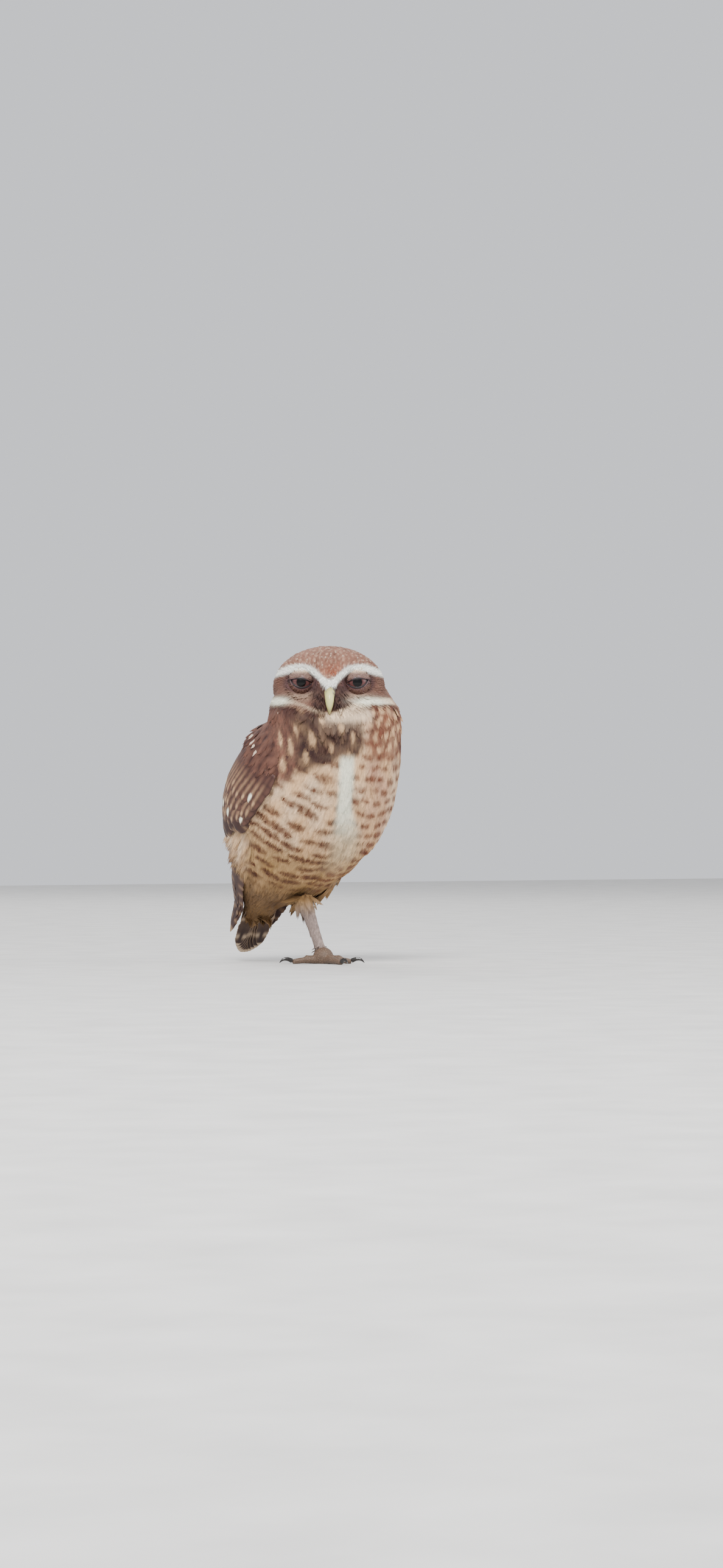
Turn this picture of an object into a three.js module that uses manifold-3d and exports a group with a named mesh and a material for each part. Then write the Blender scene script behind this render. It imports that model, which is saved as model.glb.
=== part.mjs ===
// A burrowing owl at life size, dozing on one leg with its head turned to look over its right side.
// Millimetres, +Z up. The bird faces -Y, its right side is towards -X, and the origin is the middle of
// the standing foot's sole. Each part of the bird is one closed solid of its own.
import * as THREE from "three";
import { mergeVertices } from "three/addons/utils/BufferGeometryUtils.js";
import Module from "manifold-3d";

const wasm = await Module();
wasm.setup();

// Driving sizes, in millimetres and degrees
const GAP = 0.3; // the clearance between neighbouring parts
const BODY_X = -5; // the body's middle plane, from the standing foot
const HEAD_YAW = -34; // the turn of the head, negative towards the bird's right
const SMOOTH = 2.3; // the power of the body's rounded sections: 2 is an ellipse

// The body's form from the tail tip (station 0) to inside the head (station 11): how far forward and
// up the middle of each section lies, and its reach to the side, to the belly and to the back.
const STATIONS = [
  { forward: -89, up: 2.5, side: 12, belly: 6, back: 6 },
  { forward: -76, up: 23, side: 14, belly: 7, back: 7 },
  { forward: -65, up: 38, side: 17, belly: 10, back: 9 },
  { forward: -53, up: 52, side: 28, belly: 21, back: 16 },
  { forward: -40, up: 67, side: 39, belly: 35, back: 25 },
  { forward: -28, up: 84, side: 48, belly: 47, back: 33 },
  { forward: -16, up: 102, side: 54, belly: 54, back: 39 },
  { forward: 0, up: 121, side: 55, belly: 53, back: 42 },
  { forward: 13, up: 139, side: 51.5, belly: 47, back: 42 },
  { forward: 19, up: 155, side: 47, belly: 40, back: 38 },
  { forward: 19, up: 170, side: 43, belly: 33, back: 34 },
  { forward: 19, up: 184, side: 37.5, belly: 27, back: 31 },
];
const LAST_STATION = STATIONS.length - 1;
const RUMP = 2; // the station where the torso ends and the tail leaves it
const NECK_BASE = 8.95; // the station of the cut between torso and neck
const NECK_TOP = 9.7; // and of the cut between neck and head

const HEAD = {
  forward: 14,
  up: 181,
  halfWidth: 38.5,
  halfDepth: 33,
  halfHeight: 29,
  eyeX: 18.2, // from the head's middle to each eye
  eyeY: -19.5,
  eyeZ: 2.4,
  eyeRadius: 8,
  lidRadius: 9.5,
  billRoot: -3, // the height of the bill's root on the face
};

const PLUMAGE = { brown: 0x7c6152, buff: 0xb39a7e, cream: 0xd8ccb8, dark: 0x4a3730 };
const TOE_SKIN = [0x75665d, 0.7]; // colour and roughness
const CLAW_HORN = [0x2b2524, 0.35];

// Vectors and closed skins

const V = (x, y, z) => new THREE.Vector3(x, y, z);
const rad = THREE.MathUtils.degToRad;
const lerp = THREE.MathUtils.lerp;
const ease = (s) => s * s * (3 - 2 * s);
const hill = (d, width) => Math.exp(-((d / width) ** 2));

// A closed skin over a stack of rings of equal length, with a point at each end.
function skin(rings, first, last) {
  const n = rings[0].length;
  const points = [...rings.flat(), first, last];
  const index = [];
  for (let r = 0; r < rings.length - 1; r++) {
    for (let i = 0; i < n; i++) {
      const a = r * n + i;
      const b = r * n + ((i + 1) % n);
      index.push(a, b, b + n, a, b + n, a + n);
    }
  }
  const top = (rings.length - 1) * n;
  for (let i = 0; i < n; i++) {
    const j = (i + 1) % n;
    index.push(points.length - 2, j, i, points.length - 1, top + i, top + j);
  }
  return new THREE.BufferGeometry().setFromPoints(points).setIndex(index);
}

// A geometry as a manifold solid with its faces pointing out.
function solid(geometry) {
  const bare = geometry.clone();
  for (const name of Object.keys(bare.attributes)) {
    if (name !== "position") bare.deleteAttribute(name);
  }
  const merged = mergeVertices(bare, 1e-5);
  const vertProperties = new Float32Array(merged.attributes.position.array);
  const triVerts = new Uint32Array(merged.index.array);
  const make = () => new wasm.Manifold(new wasm.Mesh({ numProp: 3, vertProperties, triVerts }));
  const made = make();
  if (made.volume() > 0) return made;
  for (let i = 0; i < triVerts.length; i += 3) {
    [triVerts[i + 1], triVerts[i + 2]] = [triVerts[i + 2], triVerts[i + 1]];
  }
  return make();
}

const joined = (solids) => wasm.Manifold.union(solids);

// The largest closed surface of a solid, without loose scraps or sealed hollows.
function largest(made) {
  const pieces = made.decompose().sort((a, b) => b.volume() - a.volume());
  return pieces[0];
}

function geometryOf(made) {
  const { numProp, numVert, vertProperties, triVerts } = made.getMesh();
  const points = new Float32Array(numVert * 3);
  for (let i = 0; i < numVert; i++) {
    points.set(vertProperties.subarray(i * numProp, i * numProp + 3), i * 3);
  }
  return new THREE.BufferGeometry()
    .setAttribute("position", new THREE.BufferAttribute(points, 3))
    .setIndex(new THREE.BufferAttribute(triVerts, 1));
}

// A big block on the side of a plane that its normal points to, for cutting.
function halfSpace(point, normal) {
  const size = 400;
  const turn = new THREE.Quaternion().setFromUnitVectors(V(0, 0, 1), normal.clone().normalize());
  const block = new THREE.BoxGeometry(size, size, size).translate(0, 0, size / 2);
  return solid(block.applyQuaternion(turn).translate(point.x, point.y, point.z));
}

// The body's form: one smooth shape from the tail tip to the neck

const SPINE = new THREE.CatmullRomCurve3(
  STATIONS.map((s) => V(BODY_X, -s.forward, s.up)), false, "catmullrom", 0.5,
);
const GIRTH = new THREE.CatmullRomCurve3(
  STATIONS.map((s) => V(s.side, s.belly, s.back)), false, "catmullrom", 0.5,
);
const along = (curve, station) => curve.getPoint(THREE.MathUtils.clamp(station / LAST_STATION, 0, 1));

function spineTangent(station) {
  return along(SPINE, station + 0.05).sub(along(SPINE, station - 0.05)).normalize();
}

// A point on the body's form. The angle runs from the middle of the belly (0) over the bird's left side
// (90) to the middle of the back (180), and is negative over its right side.
function formPoint(station, degrees, grow = 0) {
  const girth = along(GIRTH, station);
  const up = spineTangent(station);
  const back = V(1, 0, 0).cross(up).negate();
  if (back.y < 0) back.negate();
  const power = (v) => Math.sign(v) * Math.abs(v) ** (2 / SMOOTH);
  const s = power(Math.sin(rad(degrees)));
  const c = power(Math.cos(rad(degrees)));
  const reach = c > 0 ? girth.y : girth.z;
  return along(SPINE, station)
    .addScaledVector(V(1, 0, 0), s * (girth.x + grow))
    .addScaledVector(back, -c * (reach + grow));
}

function bodyForm(grow = 0, sides = 32, steps = 19) {
  const rings = [];
  for (let k = 0; k <= steps; k++) {
    const station = lerp(RUMP, LAST_STATION, k / steps);
    const ring = [];
    for (let i = 0; i < sides; i++) ring.push(formPoint(station, (360 * i) / sides, grow));
    rings.push(ring);
  }
  const ends = [RUMP, LAST_STATION].map((station, i) =>
    along(SPINE, station).addScaledVector(spineTangent(station), i ? 12 + grow : -3 - grow));
  return solid(skin(rings, ends[0], ends[1]));
}

// The head: a broad ball with dished discs round the eyes, brows and a ridge down to the bill

const HEAD_FRAME = new THREE.Matrix4()
  .makeTranslation(BODY_X, -HEAD.forward, HEAD.up)
  .multiply(new THREE.Matrix4().makeRotationZ(rad(HEAD_YAW)));
const onHead = (geometry) => geometry.clone().applyMatrix4(HEAD_FRAME);

// How far the face stands out of the plain ball at x, z of the head's own frame.
function faceRelief(x, z) {
  const side = Math.abs(x);
  const eyeX = side - HEAD.eyeX;
  const eyeZ = z - HEAD.eyeZ;
  const fromEye = Math.hypot(eyeX, eyeZ * 1.1);
  const dish = -3.6 * hill(fromEye, 10.5);
  const browLine = HEAD.eyeZ + 8.6 - 11 * hill(side, 9) - 0.012 * Math.max(0, side - 20) ** 2;
  const brow = 3.2 * hill(z - browLine, 3.2) * hill(Math.max(0, side - 26), 9);
  const rim = 1.8 * hill(fromEye - 17.5, 3.2) * (z < HEAD.eyeZ ? 1 : hill(eyeZ, 6));
  const ridge = 2.2 * hill(side, 4.5) * hill(z - HEAD.eyeZ + 2, 8);
  return dish + brow + rim + ridge;
}

function headForm() {
  const around = 36;
  const rows = 20;
  const rings = [];
  const point = (polar, turn) => {
    const x = HEAD.halfWidth * Math.sin(polar) * Math.cos(turn);
    const z = HEAD.halfHeight * Math.sin(polar) * Math.sin(turn);
    const y = -HEAD.halfDepth * Math.cos(polar);
    const front = ease(THREE.MathUtils.clamp(Math.cos(polar) * 2.2, 0, 1));
    return V(x, y - front * faceRelief(x, z), z);
  };
  for (let k = 1; k < rows; k++) {
    const polar = Math.PI * (k / rows) ** 1.3;
    rings.push(Array.from({ length: around }, (_, i) => point(polar, (2 * Math.PI * i) / around)));
  }
  return solid(onHead(skin(rings, point(0, 0), point(Math.PI, 0))));
}

// A limb: a tube along a smooth path whose half-width and half-height follow the path, from one share of
// its length to another. The path is a list of points, each with its half-width w and half-height h.
function limb(path, { from = 0, to = 1, sides = 10, steps = 8, grow = 0, up = V(0, 0, 1) } = {}) {
  const curve = new THREE.CatmullRomCurve3(path.map((p) => p.at));
  const size = new THREE.CatmullRomCurve3(path.map((p) => V(p.w, p.h, 0)), false, "catmullrom", 0.5);
  const rings = [];
  for (let k = 0; k <= steps; k++) {
    const t = lerp(from, to, k / steps);
    const centre = curve.getPoint(t);
    const tangent = curve.getTangent(t);
    const side = up.clone().cross(tangent).normalize();
    const top = tangent.clone().cross(side);
    const { x: w, y: h } = size.getPoint(t);
    rings.push(Array.from({ length: sides }, (_, i) => {
      const a = (2 * Math.PI * i) / sides;
      return centre.clone()
        .addScaledVector(side, Math.cos(a) * (w + grow))
        .addScaledVector(top, Math.sin(a) * (h + grow));
    }));
  }
  const ends = [from, to].map((t, i) =>
    curve.getPoint(t).addScaledVector(curve.getTangent(t), (i ? 1 : -1) * grow));
  return solid(skin(rings, ends[0], ends[1]));
}

// The face's own parts, in the head's frame

const headPath = (points) => points.map(([forward, up, w, h]) => ({ at: V(0, -forward, up), w, h }));
const UPPER_BILL = headPath([
  [25, HEAD.billRoot, 4, 4.6],
  [33, HEAD.billRoot - 0.4, 3.7, 4],
  [38, HEAD.billRoot - 4.2, 3.1, 3.2],
  [40.2, HEAD.billRoot - 9.4, 2.4, 2.4],
  [39, HEAD.billRoot - 15.6, 0.5, 0.5],
]);
const LOWER_BILL = headPath([
  [24, HEAD.billRoot - 8.4, 3.2, 2.4],
  [31, HEAD.billRoot - 9.8, 2.8, 2.1],
  [35.6, HEAD.billRoot - 12, 2, 1.5],
  [37, HEAD.billRoot - 14.3, 0.9, 0.6],
]);

function bill(path, grow = 0) {
  const curveUp = V(0, -0.5, 1).normalize();
  return limb(path, { sides: 10, steps: 8, grow, up: curveUp }).transform(HEAD_FRAME.elements);
}

const NOSTRIL = { side: 3.4, forward: 34.6, up: 1.2 };

function nostrils() {
  const bore = (side) =>
    new THREE.SphereGeometry(1, 8, 6).scale(1.1, 1.3, 0.8)
      .translate(side * NOSTRIL.side, -NOSTRIL.forward, HEAD.billRoot + NOSTRIL.up);
  return joined([-1, 1].map((side) => solid(onHead(bore(side)))));
}

function eyeCentre(side) {
  return V(side * HEAD.eyeX, HEAD.eyeY, HEAD.eyeZ);
}

function eyeBall(side, radius, columns = 14, rows = 10) {
  const c = eyeCentre(side);
  const ball = new THREE.SphereGeometry(radius, columns, rows).rotateX(Math.PI / 2);
  return solid(onHead(ball.translate(c.x, c.y, c.z)));
}

// The lids: a shell over the front of the eye with a half-closed opening, flat above and round below.
function lids(side) {
  const c = eyeCentre(side);
  const opening = new THREE.Shape();
  opening.moveTo(-6.9, 1.1);
  opening.quadraticCurveTo(0, 2.4, 6.9, 1.1);
  opening.quadraticCurveTo(4.2, -3.9, 0, -4.1);
  opening.quadraticCurveTo(-4.2, -3.9, -6.9, 1.1);
  const prism = new THREE.ExtrudeGeometry(opening, { depth: 20, bevelEnabled: false, curveSegments: 3 })
    .rotateX(Math.PI / 2)
    .rotateY(-side * rad(8))
    .translate(c.x, c.y, c.z);
  const frontPoint = c.clone().add(V(0, -2.2, 0)).applyMatrix4(HEAD_FRAME);
  const forward = V(0, -1, 0).transformDirection(HEAD_FRAME);
  return eyeBall(side, HEAD.lidRadius, 14, 10)
    .subtract(eyeBall(side, HEAD.eyeRadius + GAP))
    .intersect(halfSpace(frontPoint, forward))
    .subtract(solid(onHead(prism)));
}

// A feather: a thin cambered plate on the body's form, from a root to a tip, each given as a station and
// an angle, raised from rise[0] at the root to rise[1] at the tip and rolled so that its edge underlies
// its neighbour. Both faces are split into the same triangles.
const VANE_THICK = 0.85;
const VANE_ROLL = 0.14; // how far each feather is turned over its neighbour
const VANE_PROFILE = [[0, 0.55], [0.4, 1], [0.84, 0.86], [1, 0.34]];

function vane(place, { width, thick = 0.8, roll = 0, profile = VANE_PROFILE }) {
  const rows = profile.map(([s, share]) => {
    const here = place(s);
    const ahead = place(Math.min(1, s + 0.02)).at.clone();
    const behind = place(Math.max(0, s - 0.02)).at;
    const run = ahead.sub(behind).normalize();
    const across = here.normal.clone().cross(run).normalize();
    const half = (width / 2) * share;
    const camber = (half * half) / 90;
    const at = (k, drop) => here.at.clone()
      .addScaledVector(across, k * half)
      .addScaledVector(here.normal, k * half * roll - Math.abs(k) * camber - drop);
    return [at(-1, 0), at(0, -0.15), at(1, 0), at(-1, thick), at(0, thick), at(1, thick)];
  });
  const points = rows.flat();
  const index = [];
  const quad = (a, b, c, d) => index.push(a, b, c, a, c, d);
  for (let r = 0; r < rows.length - 1; r++) {
    const o = r * 6;
    const n = o + 6;
    for (const k of [0, 1]) {
      quad(o + k, o + k + 1, n + k + 1, n + k);
      index.push(o + k + 3, n + k + 4, o + k + 4, o + k + 3, n + k + 3, n + k + 4);
    }
    quad(o + 3, o, n, n + 3);
    quad(o + 2, o + 5, n + 5, n + 2);
  }
  const e = (rows.length - 1) * 6;
  for (const k of [0, 1]) {
    quad(k + 3, k + 4, k + 1, k);
    quad(e + k, e + k + 1, e + k + 4, e + k + 3);
  }
  return solid(new THREE.BufferGeometry().setFromPoints(points).setIndex(index));
}

function formNormal(station, degrees, side) {
  const sideways = formPoint(station, side * (degrees + 2)).sub(formPoint(station, side * (degrees - 2)));
  const upward = formPoint(station + 0.1, side * degrees).sub(formPoint(station - 0.1, side * degrees));
  const normal = sideways.cross(upward).normalize();
  return normal.dot(formPoint(station, side * degrees).sub(along(SPINE, station))) < 0
    ? normal.negate() : normal;
}

// The folded wing's tiers, from the longest feathers beneath to the smallest on top. Root and tip are
// [station, angle] of the first feather (nearest the belly) and of the last (nearest the back).
const TIERS = [
  {
    count: 5, root: [[4.6, 84], [4.6, 112]], tip: [[1.7, 94], [2.2, 124]], reach: 1.1,
    width: 14, rise: [1, 3.6],
  },
  { count: 5, root: [[6.4, 76], [5.9, 150]], tip: [[5.2, 84], [3.3, 148]], width: 24, rise: [0.9, 2.2] },
  { count: 5, root: [[7.5, 70], [7.3, 138]], tip: [[6, 76], [5.1, 144]], width: 22, rise: [1, 3] },
  { count: 5, root: [[8.5, 72], [8.4, 130]], tip: [[6.9, 70], [6.5, 136]], width: 20, rise: [0.8, 2.8] },
  { count: 3, root: [[8, 146], [7.8, 168]], tip: [[5.2, 150], [5, 168]], width: 19, rise: [1, 3.5] },
];

// The breast is turned towards the bird's right, so its plumage covers the front of the left wing: that
// wing's angles are pushed back, most at the front edge.
const LEFT_SET_BACK = 18;
const WING_FRONT = 62;
const WING_BACK = 173;

function wingAngle(side, degrees) {
  const share = (WING_BACK - degrees) / (WING_BACK - WING_FRONT);
  return side * (side > 0 ? degrees + LEFT_SET_BACK * share : degrees);
}

// The folded wing's base: a plate on the body's side and back, thinner towards its edges.
const WING_EDGE = [
  { station: 3.1, front: 104, back: 146 },
  { station: 4, front: 97, back: 164 },
  { station: 5, front: 86, back: 172 },
  { station: 6, front: 72, back: 173 },
  { station: 7, front: 66, back: 173 },
  { station: 8, front: 64, back: 170 },
  { station: 9, front: 72, back: 158 },
];

function wingBase(side) {
  const rows = 9;
  const columns = 6;
  const outline = (k) => {
    const t = (k / rows) * (WING_EDGE.length - 1);
    const i = Math.min(WING_EDGE.length - 2, Math.floor(t));
    const mix = (key) => lerp(WING_EDGE[i][key], WING_EDGE[i + 1][key], t - i);
    return { station: mix("station"), front: mix("front"), back: mix("back") };
  };
  const plate = new THREE.BoxGeometry(columns, rows, 1, columns, rows, 1);
  const p = plate.attributes.position;
  for (let v = 0; v < p.count; v++) {
    const column = p.getX(v) + columns / 2;
    const row = outline(p.getY(v) + rows / 2);
    const angle = lerp(row.front, row.back, column / columns);
    const inside = Math.min(column, columns - column, p.getY(v) + rows / 2, rows / 2 - p.getY(v));
    const rise = p.getZ(v) > 0 ? 0.7 + 0.9 * Math.min(1, inside) : -1.5;
    const turned = wingAngle(side, angle);
    const at = formPoint(row.station, turned)
      .addScaledVector(formNormal(row.station, Math.abs(turned), side), rise);
    p.setXYZ(v, at.x, at.y, at.z);
  }
  return solid(plate);
}

// One tier of a wing, each feather overlapping the next. The reach lengthens the middle feathers.
function tier(side, { count, root, tip, width, rise, reach = 0 }) {
  return Array.from({ length: count }, (_, i) => {
    const u = i / (count - 1);
    const pair = ([a, b]) => [lerp(a[0], b[0], u), lerp(a[1], b[1], u)];
    const start = pair(root);
    const end = pair(tip);
    end[0] -= reach * Math.sin(Math.PI * Math.min(1, u * 1.4));
    const place = (s) => {
      const station = lerp(start[0], end[0], s);
      const angle = lerp(start[1], end[1], s);
      const turned = wingAngle(side, angle);
      const normal = formNormal(station, Math.abs(turned), side);
      const h = lerp(rise[0], rise[1], ease(s));
      return { at: formPoint(station, turned).addScaledVector(normal, h), normal };
    };
    return vane(place, { width, thick: VANE_THICK, roll: side * VANE_ROLL });
  });
}

function wing(side, body) {
  const feathers = TIERS.flatMap((row) => tier(side, row));
  return joined([wingBase(side), ...feathers]).subtract(body);
}

// The tail: twelve feathers in a closed fan, the middle pair on top
const TAIL = { count: 12, rootSpread: 4.5, tipSpread: 8.6, width: 12, step: 0.42, shorter: 0.28 };

function tail(body) {
  const feathers = Array.from({ length: TAIL.count }, (_, i) => {
    const u = (2 * i) / (TAIL.count - 1) - 1;
    const end = 0.12 + TAIL.shorter * u * u;
    const place = (s) => {
      const station = lerp(3, end, s);
      const up = spineTangent(station);
      const back = V(1, 0, 0).cross(up).negate();
      if (back.y < 0) back.negate();
      const spread = u * lerp(TAIL.rootSpread, TAIL.tipSpread, s);
      const height = 1.5 - Math.abs(u) * TAIL.count * 0.5 * TAIL.step + (i % 2) * 0.1;
      return { at: along(SPINE, station).addScaledVector(back, height).add(V(spread, 0, 0)), normal: back };
    };
    return vane(place, { width: TAIL.width, thick: VANE_THICK });
  });
  return joined(feathers).subtract(body);
}

// The standing leg, from inside the belly down to the foot, and its four toes
const LEG_PATH = [
  { at: V(-7.5, 20, 62), w: 13, h: 13 },
  { at: V(-5.5, 17.5, 47), w: 9.5, h: 10 },
  { at: V(-4, 14, 38), w: 6, h: 6.6 },
  { at: V(-2.3, 8.4, 24), w: 4.8, h: 5.2 },
  { at: V(-0.5, 2.8, 10), w: 4.4, h: 4.8 },
  { at: V(0, 0.5, 5), w: 4.8, h: 4.8 },
];
const ANKLE = 0.4; // the share of the leg's path at the lower end of its feathered thigh
const FOOT_TOP = 0.8; // and at the top of the foot
const PAD = { w: 6.6, length: 7.2, h: 6.4, up: 4.6 };
const TOE = { root: 3.4, tip: 2.1, rise: 0.84, clawLength: 9 };
const TOES = [
  { name: "inner", turn: 42, length: 17 },
  { name: "middle", turn: -6, length: 23 },
  { name: "outer", turn: -108, length: 19 },
  { name: "hind", turn: 174, length: 14 },
];

function footPad(grow = 0) {
  const ball = new THREE.SphereGeometry(1, 16, 10)
    .scale(PAD.w + grow, PAD.length + grow, PAD.h + grow)
    .translate(0, 0, PAD.up);
  return solid(ball);
}

// A toe's middle line on the ground, with its half-sizes swelling over each pad.
function toePath({ turn, length }) {
  const way = V(Math.sin(rad(turn)), -Math.cos(rad(turn)), 0);
  return Array.from({ length: 7 }, (_, i) => {
    const s = i / 6;
    const swell = 1 + 0.09 * Math.cos(2 * Math.PI * 2 * s);
    const r = lerp(TOE.root, TOE.tip, s) * swell;
    const at = way.clone().multiplyScalar(2 + (length - 2 + 2) * s);
    return { at: at.setZ(r * TOE.rise + 0.5 * Math.sin(Math.PI * s)), w: r, h: r };
  });
}

function clawPath({ turn, length }, share = 1) {
  const way = V(Math.sin(rad(turn)), -Math.cos(rad(turn)), 0);
  const at = (out, up) => way.clone().multiplyScalar(length + 2 + out).setZ(up);
  return [
    { at: at(GAP, 2.1), w: 1.5, h: 1.7 },
    { at: at(3.4 * share, 3.3), w: 1.25, h: 1.45 },
    { at: at(6.6 * share, 2.9), w: 0.85, h: 0.95 },
    { at: at(8.9 * share, 0.75), w: 0.25, h: 0.25 },
  ];
}

// The other leg is drawn up, its closed foot pressed into the belly's plumage
const TUCKED = { middle: 61, spread: 8.5, hock: 2.6, heel: 3.15, knuckle: 3.45, bend: 3.72, tip: 3.95 };
const TUCKED_PAD = 5.4; // the drawn-up foot's half-width
const TUCKED_TOES = [
  { name: "inner", turn: -1, share: 0.85 },
  { name: "middle", turn: 0, share: 1 },
  { name: "outer", turn: 1, share: 0.9 },
  { name: "hind", turn: 2, share: 0.55 },
];

// A point above the belly's surface on the left side, and a limb's path through such points.
const onBelly = ([station, degrees, lift]) =>
  formPoint(station, degrees).addScaledVector(formNormal(station, degrees, 1), lift);
const bellyPath = (points, sizes) =>
  points.map((p, i) => ({ at: onBelly(p), w: sizes[i], h: sizes[i] }));

function tuckedPad(grow = 0) {
  const at = onBelly([TUCKED.heel, TUCKED.middle, 1]);
  const ball = new THREE.SphereGeometry(TUCKED_PAD + grow, 14, 9);
  return solid(ball.translate(at.x, at.y, at.z));
}

function tuckedToe({ turn, share }) {
  const degrees = TUCKED.middle + turn * TUCKED.spread;
  const at = (station, lift) => [lerp(TUCKED.heel, station, share), degrees, lift];
  const middle = (TUCKED.bend + TUCKED.tip) / 2;
  const root = at(TUCKED.heel + 0.06, 1.4);
  return {
    toe: bellyPath([root, at(TUCKED.knuckle, 2.2), at(TUCKED.bend, 1.6)], [2.1, 2, 1.6]),
    claw: bellyPath([at(TUCKED.bend, 1.7), at(middle, 2.1), at(TUCKED.tip, 1)], [1.3, 1, 0.3]),
  };
}

const body = bodyForm();
const bodyGrown = bodyForm(GAP);
const head = headForm();
const whole = body.add(head);
const planeAt = (station) => [along(SPINE, station), spineTangent(station)];
const above = (station) => {
  const [point, normal] = planeAt(station);
  return halfSpace(point.addScaledVector(normal, GAP / 2), normal);
};
const below = (station) => {
  const [point, normal] = planeAt(station);
  return halfSpace(point.addScaledVector(normal, -GAP / 2), normal.clone().negate());
};

// The parts by name, each with its colour
const parts = new Map();
const add = (name, made, color, roughness = 0.9) =>
  parts.set(name, { made: largest(made), color, roughness });

const upperBill = bill(UPPER_BILL);
const lowerBill = bill(LOWER_BILL).subtract(bill(UPPER_BILL, GAP));
const billRoom = bill(UPPER_BILL, GAP).add(bill(LOWER_BILL, GAP));
const sockets = joined([-1, 1].map((side) => eyeBall(side, HEAD.lidRadius + GAP, 14, 10)));

add("torso", whole.intersect(below(NECK_BASE)), PLUMAGE.buff);
const neck = whole.intersect(above(NECK_BASE)).intersect(below(NECK_TOP));
add("neck", neck.subtract(billRoom), PLUMAGE.brown);
add("head", whole.intersect(above(NECK_TOP)).subtract(billRoom).subtract(sockets), PLUMAGE.brown);
add("bill_upper", upperBill.subtract(nostrils()), 0xb6b089, 0.4);
add("bill_lower", lowerBill, 0x8f8a6c, 0.45);

for (const [name, side] of [["right", -1], ["left", 1]]) {
  add(`eye_${name}`, eyeBall(side, HEAD.eyeRadius), 0x2a2224, 0.1);
  add(`lids_${name}`, lids(side), 0x9c8f8a, 0.8);
  add(`wing_${name}`, wing(side, bodyGrown), PLUMAGE.brown);
}
add("tail", tail(bodyGrown), PLUMAGE.dark);

const floorRoom = halfSpace(V(0, 0, 0), V(0, 0, -1));
const legUp = V(0, -1, 0.6).normalize();
const legPart = (from, to) => limb(LEG_PATH, { from, to, sides: 12, steps: 6, up: legUp });
add("thigh_right", legPart(0, ANKLE - 0.004).subtract(bodyGrown), PLUMAGE.cream);
add("tarsus_right", legPart(ANKLE + 0.004, FOOT_TOP + 0.1).subtract(footPad(GAP)), PLUMAGE.cream);
add("foot_right", footPad().subtract(floorRoom), ...TOE_SKIN);
for (const toe of TOES) {
  const claw = (grow) => limb(clawPath(toe), { sides: 6, steps: 6, grow });
  const made = limb(toePath(toe), { sides: 7, steps: 8 });
  const trimmed = made.subtract(footPad(GAP)).subtract(floorRoom).subtract(claw(GAP));
  add(`toe_right_${toe.name}`, trimmed, ...TOE_SKIN);
  add(`claw_right_${toe.name}`, claw(0).subtract(floorRoom), ...CLAW_HORN);
}

const tuckedTarsus = bellyPath([
  [TUCKED.hock, TUCKED.middle + 4, 0.6],
  [(TUCKED.hock + TUCKED.heel) / 2, TUCKED.middle + 2, 1.6],
  [TUCKED.heel + 0.05, TUCKED.middle, 1],
], [3.4, 3.2, 3.2]);
const tuckedLeg = limb(tuckedTarsus, { sides: 10 }).subtract(tuckedPad(GAP));
add("tarsus_left", tuckedLeg.subtract(bodyGrown), PLUMAGE.cream);
add("foot_left", tuckedPad().subtract(bodyGrown), ...TOE_SKIN);
let taken = bodyGrown.add(tuckedPad(GAP));
for (const item of TUCKED_TOES) {
  const { toe, claw } = tuckedToe(item);
  const fine = { sides: 6, steps: 4 };
  const clawRoom = limb(claw, { ...fine, grow: GAP });
  add(`toe_left_${item.name}`, limb(toe, fine).subtract(taken).subtract(clawRoom), ...TOE_SKIN);
  add(`claw_left_${item.name}`, limb(claw, fine).subtract(taken), ...CLAW_HORN);
  taken = joined([taken, clawRoom, limb(toe, { ...fine, grow: GAP })]);
}

const owl = new THREE.Group();
for (const [name, { made, color, roughness }] of parts) {
  const mesh = new THREE.Mesh(geometryOf(made), new THREE.MeshStandardMaterial({ color, roughness }));
  mesh.name = name;
  owl.add(mesh);
}

export default owl;
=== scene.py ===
"""A burrowing owl at life size: its skin, plumage, face, bill, eyes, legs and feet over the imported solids."""
import logging
import math
from collections.abc import Callable
from dataclasses import dataclass, field
from enum import Enum
from functools import cache
from typing import ClassVar

import bmesh
import bpy
import numpy as np
from mathutils import Matrix, Vector


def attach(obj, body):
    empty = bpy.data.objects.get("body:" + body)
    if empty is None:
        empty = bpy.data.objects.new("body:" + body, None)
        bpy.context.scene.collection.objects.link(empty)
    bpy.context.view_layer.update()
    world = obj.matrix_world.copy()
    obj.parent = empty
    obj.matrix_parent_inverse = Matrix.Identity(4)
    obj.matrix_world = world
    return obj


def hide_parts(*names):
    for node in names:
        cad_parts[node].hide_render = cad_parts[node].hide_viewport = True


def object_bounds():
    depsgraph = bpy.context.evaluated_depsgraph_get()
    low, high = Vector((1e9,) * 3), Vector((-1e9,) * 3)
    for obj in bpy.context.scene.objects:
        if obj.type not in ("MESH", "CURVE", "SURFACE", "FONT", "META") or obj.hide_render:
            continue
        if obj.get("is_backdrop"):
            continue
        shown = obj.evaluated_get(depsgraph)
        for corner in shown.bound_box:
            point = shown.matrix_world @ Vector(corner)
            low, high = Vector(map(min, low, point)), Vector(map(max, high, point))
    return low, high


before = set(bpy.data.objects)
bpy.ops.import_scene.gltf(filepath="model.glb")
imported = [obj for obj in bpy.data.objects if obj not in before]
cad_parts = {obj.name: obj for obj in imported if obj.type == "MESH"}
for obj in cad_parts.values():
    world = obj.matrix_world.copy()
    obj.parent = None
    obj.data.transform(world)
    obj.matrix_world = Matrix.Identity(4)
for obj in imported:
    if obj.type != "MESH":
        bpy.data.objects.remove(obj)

LOG = logging.getLogger("owl")
CAD_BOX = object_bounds()
MM = 0.001
CONTRAST = 1.42
GAIN = 1.22
BRIGHTEST = 0.93
UNEVEN = 0.36
Array = np.ndarray
Colour = tuple[float, float, float]
Pair = tuple[float, float]
Place = Callable[[Array], tuple[Array, Array]]
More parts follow.
